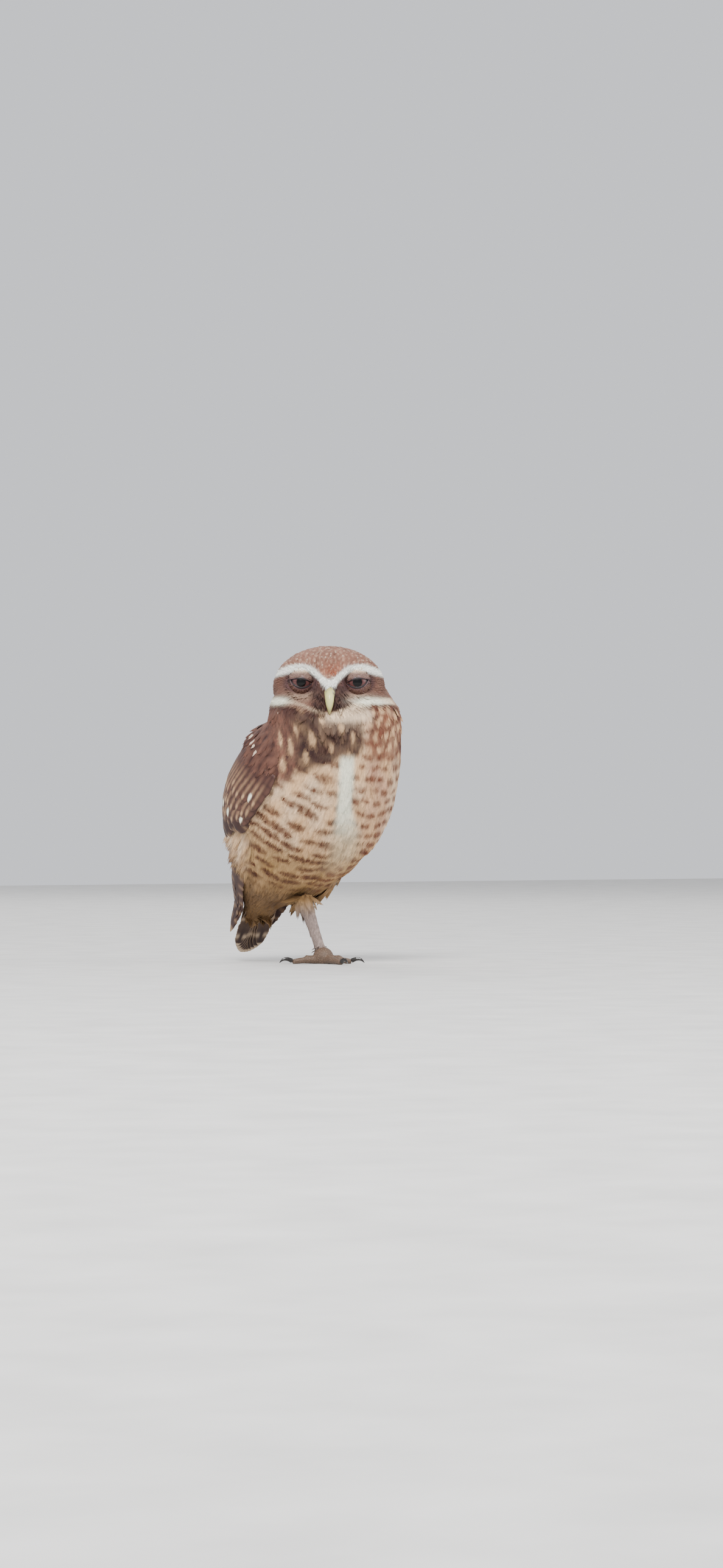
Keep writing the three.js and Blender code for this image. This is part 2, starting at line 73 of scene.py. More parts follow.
Dye = Callable[[Array, Array, Array, np.random.Generator], Array]


def paint(red: int, green: int, blue: int) -> Array:
    """A colour as seen, from 0 to 255, as linear light, deepened because soft light flattens it."""
    seen = np.array([red, green, blue]) / 255.0
    light = np.where(seen <= 0.04045, seen / 12.92, ((seen + 0.055) / 1.055) ** 2.4)
    return np.minimum(light**CONTRAST * GAIN, BRIGHTEST)


@dataclass(frozen=True)
class Plumage:
    """The colours of the feathers, as linear light."""

    white: Array
    cream: Array
    buff: Array
    straw: Array
    brown: Array
    rust: Array
    bar: Array
    dark: Array
    crown: Array
    cheek: Array
    lore: Array


PLUMAGE = Plumage(
    white=paint(250, 238, 218),
    cream=paint(232, 212, 188),
    buff=paint(220, 190, 156),
    straw=paint(190, 160, 112),
    brown=paint(136, 102, 88),
    rust=paint(172, 108, 80),
    bar=paint(122, 74, 42),
    dark=paint(84, 50, 46),
    crown=paint(160, 124, 108),
    cheek=paint(136, 108, 95),
    lore=paint(80, 56, 54),
)


def mix(first: Array, second: Array, share: Array) -> Array:
    """Blends rows of colours by a share for each row.

    Args:
        first: Colours, or one colour, where the share is 0.
        second: Colours, or one colour, where the share is 1.
        share: One number for each row.

    Returns:
        The blended colours.
    """
    weight = np.clip(share, 0, 1)[:, None]
    return first * (1 - weight) + second * weight


def layered(colour: Array, *layers: tuple[Array, Array]) -> Array:
    """Lays colours over one another.

    Args:
        colour: The lowest colour, or a row for each point.
        layers: Each further colour with its share at each point.

    Returns:
        The blended colours.
    """
    for tint, share in layers:
        colour = mix(colour, tint, share)
    return colour


def step(value: Array, low: float, high: float) -> Array:
    """Rises smoothly from 0 at low to 1 at high, or falls where high is the smaller."""
    share = np.clip((value - low) / (high - low), 0, 1)
    return share * share * (3 - 2 * share)


def hill(value: Array, width: float) -> Array:
    """A bell of height 1 around 0."""
    return np.exp(-((value / width) ** 2))


def unit(rows: Array) -> Array:
    """Rows scaled to length 1."""
    return rows / np.maximum(np.linalg.norm(rows, axis=-1, keepdims=True), 1e-9)


def level(way: Array, normals: Array) -> Array:
    """Directions drawn into the surface that has these normals."""
    return unit(way - (way * normals).sum(axis=1, keepdims=True) * normals)


def ripple(points: Array, size: float, seed: int) -> Array:
    """A smooth random field from a few sine waves.

    Args:
        points: Places in millimetres.
        size: The wave length in millimetres.
        seed: Chooses the waves.

    Returns:
        One number from about -1 to 1 for each point.
    """
    rng = np.random.default_rng(seed)
    waves = unit(rng.normal(size=(5, 3))) * 2 * math.pi / (size * rng.uniform(0.7, 1.5, (5, 1)))
    return np.sin(points @ waves.T + rng.uniform(0, 6.28, 5)).mean(axis=1) * 1.8


def through(values: Array, place: Array) -> Array:
    """A smooth curve through rows of values.

    Args:
        values: The rows that the curve passes.
        place: Where to read it, from 0 at the first row to the last row's number.

    Returns:
        The curve's values at those places.
    """
    place = np.clip(place, 0, len(values) - 1)
    row = np.minimum(place.astype(int), len(values) - 2)
    share = (place - row)[:, None]
    more = np.vstack([2 * values[0] - values[1], values, 2 * values[-1] - values[-2]])
    before, start, end, after = (more[row + k] for k in range(4))
    leave, arrive = (end - before) / 2, (after - start) / 2
    return (start + leave * share + (3 * (end - start) - 2 * leave - arrive) * share**2
            + (2 * (start - end) + leave + arrive) * share**3)


@dataclass(frozen=True)
class BodyForm:
    """The body's outer form along its spine, from the tail tip (0) to inside the head (11), in millimetres.

    Each station has its distance forward and up from the standing foot, and its reach to the side, to the
    belly and to the back.
    """

    middle: float = -5.0
    power: float = 2 / 2.3
    stations: tuple[tuple[float, ...], ...] = (
        (-89, 2.5, 12, 6, 6), (-76, 23, 14, 7, 7), (-65, 38, 17, 10, 9), (-53, 52, 28, 21, 16),
        (-40, 67, 39, 35, 25), (-28, 84, 48, 47, 33), (-16, 102, 54, 54, 39), (0, 121, 55, 53, 42),
        (13, 139, 51.5, 47, 42), (19.5, 155, 47, 40, 38), (19, 170, 43, 33, 34), (19, 184, 37.5, 27, 31),
    )

    arc_steps: int = 110
    arc_angle: int = 15
    tries: int = 441
    batch: int = 4000

    @property
    def last(self) -> int:
        """The number of the last station."""
        return len(self.stations) - 1

    def centre(self, station: Array) -> Array:
        """The spine's points at the stations."""
        rows = np.array([(self.middle, -s[0], s[1]) for s in self.stations], float)
        return through(rows, station)

    def girth(self, station: Array) -> Array:
        """The reach to the side, to the belly and to the back at the stations."""
        return through(np.array([s[2:] for s in self.stations], float), station)

    def tangent(self, station: Array) -> Array:
        """The spine's direction at the stations, towards the head."""
        inside = np.clip(station, 0.05, self.last - 0.05)
        return unit(self.centre(inside + 0.05) - self.centre(inside - 0.05))

    def back(self, station: Array) -> Array:
        """The direction from the spine towards the back."""
        up = self.tangent(station)
        return np.stack([np.zeros(len(up)), up[:, 2], -up[:, 1]], axis=1)

    def point(self, station: Array, degrees: Array, grow: Array | float = 0.0) -> Array:
        """Points on the form.

        Args:
            station: Places along the spine.
            degrees: Angles from the belly's middle, positive over the bird's left side.
            grow: How far outside the form.

        Returns:
            The points in millimetres.
        """
        station, degrees = np.broadcast_arrays(np.asarray(station, float), np.asarray(degrees, float))
        reach = self.girth(station)
        sine, cosine = np.sin(np.radians(degrees)), np.cos(np.radians(degrees))
        across = np.sign(sine) * np.abs(sine) ** self.power * (reach[:, 0] + grow)
        deep = np.where(cosine > 0, reach[:, 1], reach[:, 2]) + grow
        out = -np.sign(cosine) * np.abs(cosine) ** self.power * deep
        return self.centre(station) + np.outer(across, (1, 0, 0)) + self.back(station) * out[:, None]

    def normal(self, station: Array, degrees: Array) -> Array:
        """The form's outward direction at a station and an angle."""
        sideways = self.point(station, degrees + 2) - self.point(station, degrees - 2)
        upward = self.point(station + 0.1, degrees) - self.point(station - 0.1, degrees)
        out = unit(np.cross(sideways, upward))
        away = self.point(station, degrees) - self.centre(station)
        return out * np.sign((out * away).sum(axis=1, keepdims=True))

    def arc(self, station: Array, degrees: Array) -> Array:
        """How far along the surface the points lie from the tail's end, in millimetres."""
        stations = np.linspace(0, self.last, self.arc_steps + 1)
        angles = np.arange(0, 181, self.arc_angle)
        lines = [np.linalg.norm(np.diff(self.point(stations, angle), axis=0), axis=1) for angle in angles]
        table = np.hstack([np.zeros((len(angles), 1)), np.cumsum(lines, axis=1)])
        row = np.clip(np.abs(degrees) / self.arc_angle, 0, len(angles) - 1.001)
        column = np.clip(station / self.last * self.arc_steps, 0, self.arc_steps - 0.001)
        low, left = row.astype(int), column.astype(int)
        down, over = row - low, column - left
        return ((table[low, left] * (1 - over) + table[low, left + 1] * over) * (1 - down)
                + (table[low + 1, left] * (1 - over) + table[low + 1, left + 1] * over) * down)

    def locate(self, points: Array) -> tuple[Array, Array]:
        """The station and the angle of points near the form.

        Args:
            points: Places in millimetres.

        Returns:
            The station and the angle of each.
        """
        tries = np.linspace(0, self.last, self.tries)
        spine = self.centre(tries)
        near = np.concatenate([
            ((part[:, None] - spine[None]) ** 2).sum(axis=2).argmin(axis=1)
            for part in np.array_split(points, max(1, len(points) // self.batch))
        ])
        station = tries[near]
        away = points - spine[near]
        deep = -(away * self.back(station)).sum(axis=1)
        return station, np.degrees(np.arctan2(away[:, 0], deep))


@dataclass(frozen=True)
class HeadForm:
    """The head: a broad ball with dished discs round the eyes, in a frame of its own, in millimetres.

    Each part of its relief has a height and a width.
    """

    forward: float = 14.0
    up: float = 181.0
    half_width: float = 38.5
    half_depth: float = 33.0
    half_height: float = 29.0
    yaw: float = -34.0
    eye: tuple[float, float, float] = (18.2, -19.5, 2.4)
    eye_radius: float = 8.0
    dish: Pair = (-3.4, 10.0)
    socket: Pair = (-3.2, 6.6)
    brow_ridge: Pair = (3.4, 3.4)
    rim: Pair = (1.6, 3.2)
    rim_reach: float = 17.5
    bill_ridge: Pair = (2.4, 4.5)
    brow_height: float = 11.2
    brow_dip: Pair = (10.6, 8.5)
    brow_end: float = 24.0

    def turn(self) -> Array:
        """The rotation from the head's frame to the bird's."""
        return np.array(Matrix.Rotation(math.radians(self.yaw), 3, "Z"))

    def outward(self, points: Array, place: float = 1.0) -> Array:
        """Points of the head's frame in the bird's frame, or directions where place is 0."""
        return points @ self.turn().T + np.array([BODY.middle, -self.forward, self.up]) * place

    def inward(self, points: Array) -> Array:
        """Points of the bird's frame in the head's frame."""
        return (points - np.array([BODY.middle, -self.forward, self.up])) @ self.turn()

    def brow(self, side: Array) -> Array:
        """The height of the pale brow's middle line, at a distance from the face's middle."""
        depth, width = self.brow_dip
        return self.brow_height - depth * hill(side, width) - 0.25 * np.maximum(0, side - self.brow_end)

    @staticmethod
    def mound(value: Array, size: Pair) -> Array:
        """A bell of a height and a width."""
        return size[0] * hill(value, size[1])

    def relief(self, across: Array, up: Array) -> Array:
        """How far the face stands out of the plain ball."""
        side = np.abs(across)
        rise = up - self.eye[2]
        from_eye = np.hypot(side - self.eye[0], rise * 1.1)
        dish = self.mound(from_eye, self.dish) + self.mound(from_eye, self.socket)
        brow = self.mound(up - self.brow(side) + 2.2, self.brow_ridge)
        brow = brow * hill(np.maximum(0, side - self.brow_end), 9)
        rim = self.mound(from_eye - self.rim_reach, self.rim) * np.where(rise < 0, 1, hill(rise, 6))
        ridge = self.mound(side, self.bill_ridge) * hill(rise + 3, 8)
        return dish + brow + rim + ridge

    def surface(self, polar: Array, turn: Array, inset: float) -> Array:
        """Points on the head, in its own frame.

        Args:
            polar: Angles from the front of the face.
            turn: Angles around that axis.
            inset: How far inside the head's form.

        Returns:
            The points in millimetres.
        """
        across = (self.half_width - inset) * np.sin(polar) * np.cos(turn)
        up = (self.half_height - inset) * np.sin(polar) * np.sin(turn)
        deep = -(self.half_depth - inset) * np.cos(polar)
        front = step(np.cos(polar), 0, 0.45)
        return np.stack([across, deep - front * self.relief(across, up), up], axis=-1)


BODY = BodyForm()
HEAD = HeadForm()


class Piece:
    """Turns arrays into finished Blender objects that ride on the one body."""

    @staticmethod
    def place(name: str, data: bpy.types.ID | None) -> bpy.types.Object:
        """A new object in the scene."""
        made = bpy.data.objects.new(name, data)
        bpy.context.scene.collection.objects.link(made)
        return made

    @staticmethod
    def mesh(name: str, points: Array, faces: list) -> bpy.types.Object:
        """Makes a smoothly shaded object.

        Args:
            name: The object's name.
            points: The vertices, in millimetres.
            faces: Rows of vertex numbers.

        Returns:
            The new object, linked to the scene.
        """
        data = bpy.data.meshes.new(name)
        data.from_pydata((np.asarray(points) * MM).tolist(), [], [list(map(int, f)) for f in faces])
        data.shade_smooth()
        return Piece.place(name, data)

    @staticmethod
    def tube(rings: Array, caps: bool = True) -> tuple[Array, list]:
        """Points and faces of a closed tube over rings of equal length.

        Args:
            rings: Rows of rings of points.
            caps: Whether both ends are closed by a fan.

        Returns:
            The points and the faces.
        """
        count, sides, _ = rings.shape
        points = rings.reshape(-1, 3)
        faces = []
        for ring in range(count - 1):
            for side in range(sides):
                near, far = ring * sides + side, ring * sides + (side + 1) % sides
                faces.append((near, far, far + sides, near + sides))
        if caps:
            points = np.vstack([points, rings[0].mean(axis=0), rings[-1].mean(axis=0)])
            start, end, top = len(points) - 2, len(points) - 1, (count - 1) * sides
            for side in range(sides):
                after = (side + 1) % sides
                faces.append((start, after, side))
                faces.append((end, top + side, top + after))
        return points, faces

    @staticmethod
    def joined(*shells: tuple[Array, list]) -> tuple[Array, list]:
        """Several shells as one set of points and faces."""
        points, faces = shells[0]
        for more, rows in shells[1:]:
            faces = faces + [tuple(v + len(points) for v in row) for row in rows]
            points = np.vstack([points, more])
        return points, faces

    @staticmethod
    def bake(made: bpy.types.Object) -> None:
        """Applies an object's modifiers by taking its evaluated mesh."""
        graph = bpy.context.evaluated_depsgraph_get()
        data = bpy.data.meshes.new_from_object(made.evaluated_get(graph))
        made.modifiers.clear()
        old = made.data
        made.data = data
        bpy.data.meshes.remove(old)

    @staticmethod
    def fuse(made: bpy.types.Object, voxel: float, rounds: int) -> None:
        """Joins an object's overlapping shells into one smooth surface.

        Args:
            made: The object.
            voxel: The grain of the new surface, in millimetres.
            rounds: How often it is smoothed.
        """
        remesh = made.modifiers.new("join", "REMESH")
        remesh.mode = "VOXEL"
        remesh.voxel_size = voxel * MM
        soften = made.modifiers.new("soften", "SMOOTH")
        soften.iterations = rounds
        soften.factor = 0.5
        Piece.bake(made)
        made.data.shade_smooth()

    @staticmethod
    def read(data: bpy.types.Mesh, kind: str = "co") -> Array:
        """The places, in metres, or the normals of a mesh's points."""
        flat = np.empty(len(data.vertices) * 3, np.float32)
        data.vertices.foreach_get(kind, flat)
        return flat.reshape(-1, 3).astype(float)

    @staticmethod
    def move(data: bpy.types.Mesh, points: Array) -> None:
        """Puts a mesh's points at places in millimetres."""
        data.vertices.foreach_set("co", (points * MM).astype(np.float32).ravel())

    @staticmethod
    def store(data: bpy.types.Mesh, name: str, values: Array) -> None:
        """Stores a number, a direction or a colour with alpha at each of a mesh's points."""
        rows = np.asarray(values, np.float32).reshape(len(values), -1)
        kinds = {1: ("FLOAT", "value"), 3: ("FLOAT_VECTOR", "vector"), 4: ("FLOAT_COLOR", "color")}
        kind, slot = kinds[rows.shape[1]]
        data.attributes.new(name, kind, "POINT").data.foreach_set(slot, rows.ravel())

    @staticmethod
    def dye(data: bpy.types.Mesh, colour: Array) -> None:
        """Stores the colours of a mesh's points."""
        Piece.store(data, "tint", np.column_stack([np.clip(colour, 0, 1), np.ones(len(colour))]))

    @staticmethod
    def finish(made: bpy.types.Object, material: bpy.types.Material, slot: str,
               nodes: tuple[str, ...] = ()) -> None:
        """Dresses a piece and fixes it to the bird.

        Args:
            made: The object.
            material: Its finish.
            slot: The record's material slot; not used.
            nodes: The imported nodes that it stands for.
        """
        made.data.materials.clear()
        made.data.materials.append(material)
        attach(made, "root")
        if nodes:
            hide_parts(*nodes)
        LOG.info("%s: %d faces", made.name, len(made.data.polygons))


class Tree:
    """A small helper that adds and links nodes."""

    def __init__(self, tree: bpy.types.NodeTree) -> None:
        """Keeps the tree and empties it."""
        self.tree = tree
        tree.nodes.clear()

    def add(self, kind: str, *inputs: object, **settings: object) -> bpy.types.Node:
        """Adds a node.

        Args:
            kind: The node's type name.
            inputs: Values or sockets for its inputs in order; None leaves one as it is.
            settings: Properties of the node.

        Returns:
            The new node.
        """
        node = self.tree.nodes.new(kind)
        for name, value in settings.items():
            setattr(node, name, value)
        open_inputs = [socket for socket in node.inputs if socket.enabled]
        for socket, value in zip(open_inputs, inputs):
            self.put(socket, value)
        return node

    def put(self, socket: bpy.types.NodeSocket, value: object) -> None:
        """Links a socket or sets its value."""
        if value is None:
            return
        if isinstance(value, bpy.types.Node):
            value = next(out for out in value.outputs if out.enabled)
        if isinstance(value, bpy.types.NodeSocket):
            self.tree.links.new(value, socket)
        else:
            socket.default_value = value

    def math(self, operation: str, *inputs: object) -> bpy.types.NodeSocket:
        """The result of a maths node."""
        return self.add("ShaderNodeMath", *inputs, operation=operation).outputs[0]

    def plus(self, first: object, second: object) -> bpy.types.NodeSocket:
        """The sum of two numbers."""
        return self.math("ADD", first, second)

    def minus(self, first: object, second: object) -> bpy.types.NodeSocket:
        """The difference of two numbers."""
        return self.math("SUBTRACT", first, second)

    def times(self, first: object, second: object) -> bpy.types.NodeSocket:
        """The product of two numbers."""
        return self.math("MULTIPLY", first, second)

    def vector(self, operation: str, *inputs: object) -> bpy.types.NodeSocket:
        """The vector result of a vector maths node."""
        return self.add("ShaderNodeVectorMath", *inputs, operation=operation).outputs[0]

    def scale(self, vector: object, factor: object) -> bpy.types.NodeSocket:
        """A vector or a colour times a number."""
        node = self.add("ShaderNodeVectorMath", vector, operation="SCALE")
        self.put(node.inputs["Scale"], factor)
        return node.outputs[0]

    def blend(self, share: object, first: object, second: object) -> bpy.types.NodeSocket:
        """Mixes two colours by a share."""
        node = self.add("ShaderNodeMix", data_type="RGBA")
        self.put(node.inputs["Factor"], share)
        colours = [socket for socket in node.inputs if socket.type == "RGBA"]
        self.put(colours[0], first)
        self.put(colours[1], second)
        return next(out for out in node.outputs if out.type == "RGBA")


def flecks(across: Array, along: Array, pitch: Pair, size: Pair, seed: float) -> Array:
    """Oval flecks in staggered, uneven rows.

    Args:
        across: Places along a row, in millimetres.
        along: Places over the rows.
        pitch: The distance between flecks in a row and between rows.
        size: A fleck's half-sizes in the same two directions.
        seed: Chooses the unevenness.

    Returns:
        A mask from 0 to 1.
    """
    row = np.floor(along / pitch[1])
    shift = 0.5 * (row % 2)
    column = np.floor(across / pitch[0] + shift)

    def chance(salt: float) -> Array:
        """One random share for each fleck."""
        return np.modf(np.abs(np.sin(row * 12.9898 + column * 78.233 + seed + salt) * 43758.5453))[0]

    aside = (across / pitch[0] + shift - column - 0.5 + UNEVEN * (chance(0.1) - 0.5)) * pitch[0]
    ahead = (along / pitch[1] - row - 0.5 + UNEVEN * (chance(0.7) - 0.5)) * pitch[1]
    reach = np.hypot(aside / size[0], ahead / size[1]) / (0.7 + 0.5 * chance(1.3))
    return 1 - step(reach, 0.65, 1.15)


@dataclass
class Markings:
    """The pattern of the small feathers, worked out at points of the skin."""

    points: Array

    def __post_init__(self) -> None:
        """Finds the body's and the head's own coordinates of each point."""
        self.station, self.degrees = BODY.locate(self.points)
        self.face = HEAD.inward(self.points)
        stripe = self.degrees + 7 * np.maximum(0, self.station - 6)
        self.along = BODY.arc(self.station, self.degrees)
        self.up = self.points[:, 2]
        self.across = np.radians(stripe) * BODY.girth(self.station)[:, :2].mean(axis=1)
        self.polar = np.degrees(np.arccos(np.clip(-unit(self.face)[:, 1], -1, 1)))
        self.head_share = step(self.face[:, 2] + ripple(self.points, 9, 3) * 0.6, *self.collar_range())
        self.side = np.abs(self.face[:, 0])
        self.front = step(self.face[:, 1], 4, -8)
        self.noise = ripple(self.points, 14, 11)
        self.fine = ripple(self.points, 4, 12)

    def collar_range(self) -> tuple[Array, Array]:
        """The heights between which the body's pattern gives way to the head's."""
        across, deep, _ = self.face.T
        front = step(deep, 12, -12)
        collar = -17.5 + 5.5 * step(np.abs(across), 6, 34) - 1.0 * (across < 0)
        height = collar * front - 22 * (1 - front)
        soft = 1.2 * front + 6 * (1 - front)
        return height - soft, height + soft

    def body(self) -> Array:
        """The colours of the breast, the belly, the flanks and the back."""
        colour = self.ground()
        for layer in (self.bars, self.spotted_side, self.chest, self.middle, self.rear):
            colour = layer(colour)
        return colour

    def ground(self) -> Array:
        """Buff that turns to straw below, with a rusty flank and its pale edge."""
        low = step(self.station, 6.9, 4.9)
        flank = step(self.across, 12, 20) * step(self.station, 5.6, 7.0)
        pale_edge = step(self.across, 36, 48) * step(self.across, 80, 66)
        return layered(
            PLUMAGE.buff,
            (PLUMAGE.cream, 0.3 + 0.4 * self.noise),
            (PLUMAGE.straw * 0.84, low * (0.8 + 0.2 * self.noise)),
            (PLUMAGE.rust * 1.05, flank * (0.26 + 0.2 * self.noise)),
            (PLUMAGE.cream, pale_edge * 0.65),
        )

    def bars(self, colour: Array) -> Array:
        """Lays the belly's bars on, longer on the bird's right."""
        right = step(self.across, 6, -6)
        wave = self.along + 1.5 * ripple(self.points, 24, 5)
        bars = flecks(self.across, wave, (17, 8.8), (9.6, 2.9), 4.0) * right
        bars += flecks(self.across, wave + 0.2 * self.across, (12, 8), (6.6, 2.6), 6.0) * (1 - right)
        bars *= step(self.station, 3.6, 4.3) * (0.85 + 0.3 * self.fine)
        bar = mix(PLUMAGE.bar * 0.72, PLUMAGE.rust * 0.5, 0.45 * (1 - right))
        return mix(colour, bar, bars * (1.0 + 0.4 * step(self.up, 112, 92)))

    def spotted_side(self, colour: Array) -> Array:
        """Lays the breast's russet left side on, with its pale spots."""
        upper = step(self.across, 14, 22) * step(self.up, 128, 138)
        russet = mix(PLUMAGE.rust * 0.5, PLUMAGE.dark * 0.8, 0.3 + 0.3 * self.noise)
        spots = flecks(self.across + 1.5 * self.fine, self.along, (9.5, 9), (2.8, 3.2), 2.0)
        colour = mix(colour, russet, upper * (0.85 + 0.15 * self.noise))
        return mix(colour, PLUMAGE.buff, spots * upper * 0.85)

    def chest(self, colour: Array) -> Array:
        """Lays the dark patch with its pale ovals on, and the streaked shoulder beside it."""
        edge = self.up - 131 - 0.32 * (self.across + 14) - 2.2 * ripple(self.points, 11, 8)
        chest = step(edge, -2.5, 2.5) * step(self.across, 17, 10)
        shoulder = chest * step(self.across, -30, -46)
        ovals = flecks(self.across, self.along, (11.5, 13.5), (2.3, 4.0), 7.0)
        streak = flecks(self.across, self.along + 1.1 * self.across, (9, 26), (1.5, 12), 9.0)
        return layered(
            colour,
            (PLUMAGE.dark * 0.7, chest * (0.92 + 0.08 * self.noise)),
            (PLUMAGE.brown * 1.35, shoulder * (0.6 + 0.4 * self.fine)),
            (PLUMAGE.buff * 0.8, ovals * chest * 0.85),
            (PLUMAGE.dark, streak * shoulder * 0.9),
        )

    def middle(self, colour: Array) -> Array:
        """Lays the white line down the middle on, and the pale throat."""
        spread = step(self.up, 106, 76)
        width, soft = 5.4 + 5.5 * spread, 2 + 5 * spread
        white = step(np.abs(self.across + 0.5 - 6 * spread), width + soft, width - soft)
        white *= step(self.up, 137, 132) * step(self.station, 4.6, 6.2)
        pale = mix(PLUMAGE.white, paint(222, 200, 164), step(self.up, 96, 76) * 0.8)
        throat = step(self.up - 158, -3, 2) * step(self.across, -22, -10) * step(self.across, 26, 18)
        colour = mix(colour, pale, white * (0.92 - 0.35 * spread))
        return mix(colour, PLUMAGE.cream * 0.92, throat * 0.9)

    def rear(self, colour: Array) -> Array:
        """Lays the vent and the back on."""
        vent = step(self.station, 4.6, 3.4)
        back = step(np.abs(self.degrees), 84, 100)
        behind = mix(PLUMAGE.brown, PLUMAGE.dark, 0.25 + 0.35 * self.noise)
        colour = mix(colour, paint(120, 94, 63), vent * (0.85 + 0.15 * self.noise))
        return mix(colour, behind, back * step(self.station, 1.5, 3.2))

    def head(self) -> Array:
        """The colours of the face, the crown and the nape."""
        noise, fine = ripple(self.points, 9, 21), ripple(self.points, 3.5, 22)
        across, deep, up = self.face.T
        turn = np.arctan2(across, np.maximum(up, -5) + 6) * 34
        spots = flecks(turn, self.polar * 0.6, (4.6, 4.4), (1.15, 1.5), 3.0)
        centre = hill(across - 3, 8) * hill(up - 9, 5) * self.front
        nape = step(deep, 12, 22) * step(up, 10, -8)
        colour = layered(
            PLUMAGE.crown,
            (PLUMAGE.brown * 0.9, 0.25 + 0.3 * noise),
            (paint(214, 190, 168), spots * 0.5),
            (PLUMAGE.rust * 0.75, centre * (0.6 + 0.3 * fine)),
        )
        colour = self.bands(self.disc(colour, noise, fine))
        return mix(colour, PLUMAGE.cream, nape * flecks(turn, up, (9, 8), (2, 3), 8.0) * 0.7)

    def disc(self, colour: Array, noise: Array, fine: Array) -> Array:
        """Lays the cheek, the ring round the eye and the dark lore on.

        Args:
            colour: The colours beneath.
            noise: The head's broad unevenness.
            fine: The head's fine unevenness.

        Returns:
            The blended colours.
        """
        side, up = self.side, self.face[:, 2]
        cheek = mix(PLUMAGE.cheek, PLUMAGE.brown, 0.35 + 0.3 * noise)
        below = step(up - HEAD.brow(side), 0.5, -1.5) * step(side, 43, 37) * self.front
        under_eye = hill(side - 17, 9) * hill(up + 6.5, 3.6) * self.front
        ring = hill(np.hypot(side - HEAD.eye[0], (up - HEAD.eye[2]) * 1.45) - 9.4, 2.3) * self.front
        lore = step(side, 15, 9) * step(up, 2.5, -1.5) * step(up + 0.42 * side, -17.5, -14.5) * self.front
        return layered(
            colour,
            (cheek, below),
            (PLUMAGE.cream * 0.8, under_eye * 0.3),
            (paint(96, 72, 78), ring * 0.75),
            (PLUMAGE.lore, lore * (0.8 + 0.25 * fine)),
        )

    def bands(self, colour: Array) -> Array:
        """Lays the pale brow, the chin band and the white patches at its ends on."""
        side, front = self.side, self.front
        across, _, up = self.face.T
        thick = 2.3 + 0.9 * hill(side, 6) + 0.3 * hill(side - 22, 10)
        brow = step(np.abs(up - HEAD.brow(side)), thick + 1.1, thick - 1.1) * step(side, 41, 35) * front
        line = -19 + 7.6 * step(side, 2, 26) + 1.6 * step(side, 26, 40)
        wide = 1.0 + 1.1 * step(across, 4, 16)
        band = step(np.abs(up - line - 0.4), wide + 0.8, wide - 0.8) * front * step(side, 44, 40)
        right_patch = hill(across + 33, 6) * hill(up + 10, 2.3) * front * 1.5
        left_patch = hill(across - 27, 10) * hill(up + 10.5, 2.6) * front * 1.4
        return layered(
            colour,
            (paint(252, 243, 228), brow * 0.97),
            (PLUMAGE.cream, band * (0.5 + 0.35 * step(across, -2, 10))),
            (PLUMAGE.white, right_patch),
            (PLUMAGE.white, np.minimum(left_patch, 1) * 0.9),
        )

    def tint(self) -> Array:
        """The whole pattern, with the dark collar line where the head meets the breast."""
        low, high = self.collar_range()
        middle = (low + high) / 2
        line = hill(self.face[:, 2] - middle + 1.6, 1.7) * step(self.face[:, 1], 0, -12)
        share = self.head_share[:, None]
        colour = self.body() * (1 - share) + self.head() * share
        line *= np.where(self.face[:, 0] < -3, 1, 0.75 * step(self.face[:, 0], 12, 24))
        return mix(colour, PLUMAGE.dark * 1.2, line * 0.75)

    def lie(self, normals: Array) -> Array:
        """The way each small feather points.

        Args:
            normals: The skin's outward directions.

        Returns:
            Directions along the skin.
        """
        across, deep, up = self.face.T
        head = self.head_share[:, None]
        along = -BODY.tangent(self.station) * (0.3 + 0.7 * (1 - head))
        eye_side = np.where(across < 0, -HEAD.eye[0], HEAD.eye[0])
        from_eye = self.face - np.column_stack([eye_side, np.full((len(up), 2), HEAD.eye[1:])])
        from_bill = self.face - np.array([0, -30, -6])
        reach = np.hypot(from_eye[:, 0], from_eye[:, 2])
        spread = unit(from_bill) + unit(from_eye) * (1.6 * hill(reach, 13))[:, None]
        spread[:, 2] -= step(deep, -8, 22) * 1.4
        lore = step(self.side, 13, 6) * step(up, 2, -1)
        bridge = step(self.side, 7, 3.5) * step(up, 7, 4)
        drawn = (np.maximum(lore, bridge) * step(deep, -14, -22))[:, None]
        droop = np.column_stack([across * 0.02, np.full((len(up), 2), (-0.5, -1.0))])
        spread = spread * (1 - drawn) + droop * drawn
        return level(along * (1 - head) + HEAD.outward(spread, 0) * head, normals)

    def unwrap(self) -> Array:
        """A flat map of the skin: a disc round the crown, further out towards the tail and the leg."""
        end = BODY.centre(np.full(1, 10.0))[0]
        away = self.points - end
        tilt = np.arccos(np.clip(away[:, 2] / np.maximum(np.linalg.norm(away, axis=1), 1e-6), -1, 1))
        top = 35 * np.minimum(tilt, math.pi / 2)
        spine = 55 + self.along.max() - self.along
        share = step(tilt, 1.2, 1.7)
        distance = top * (1 - share) + spine * share
        radius = 0.47 * (distance / distance.max()) ** 0.8
        angle = np.radians(self.degrees)
        return np.column_stack(
            [0.5 + radius * np.sin(angle), 0.5 - radius * np.cos(angle), np.zeros(len(angle))])


class Region(Enum):
    """The parts of the skin that grow their own sort of small feather."""

    BREAST = "breast"
    BELLY = "belly"
    BACK = "back"
    VENT = "vent"
    CROWN = "crown"
    FACE = "face"
    RIM = "rim"
    LORE = "lore"
    LEG = "leg"
    LID = "lid"
    COVERT = "covert"
    FLANK = "flank"
    TUCK = "tuck"


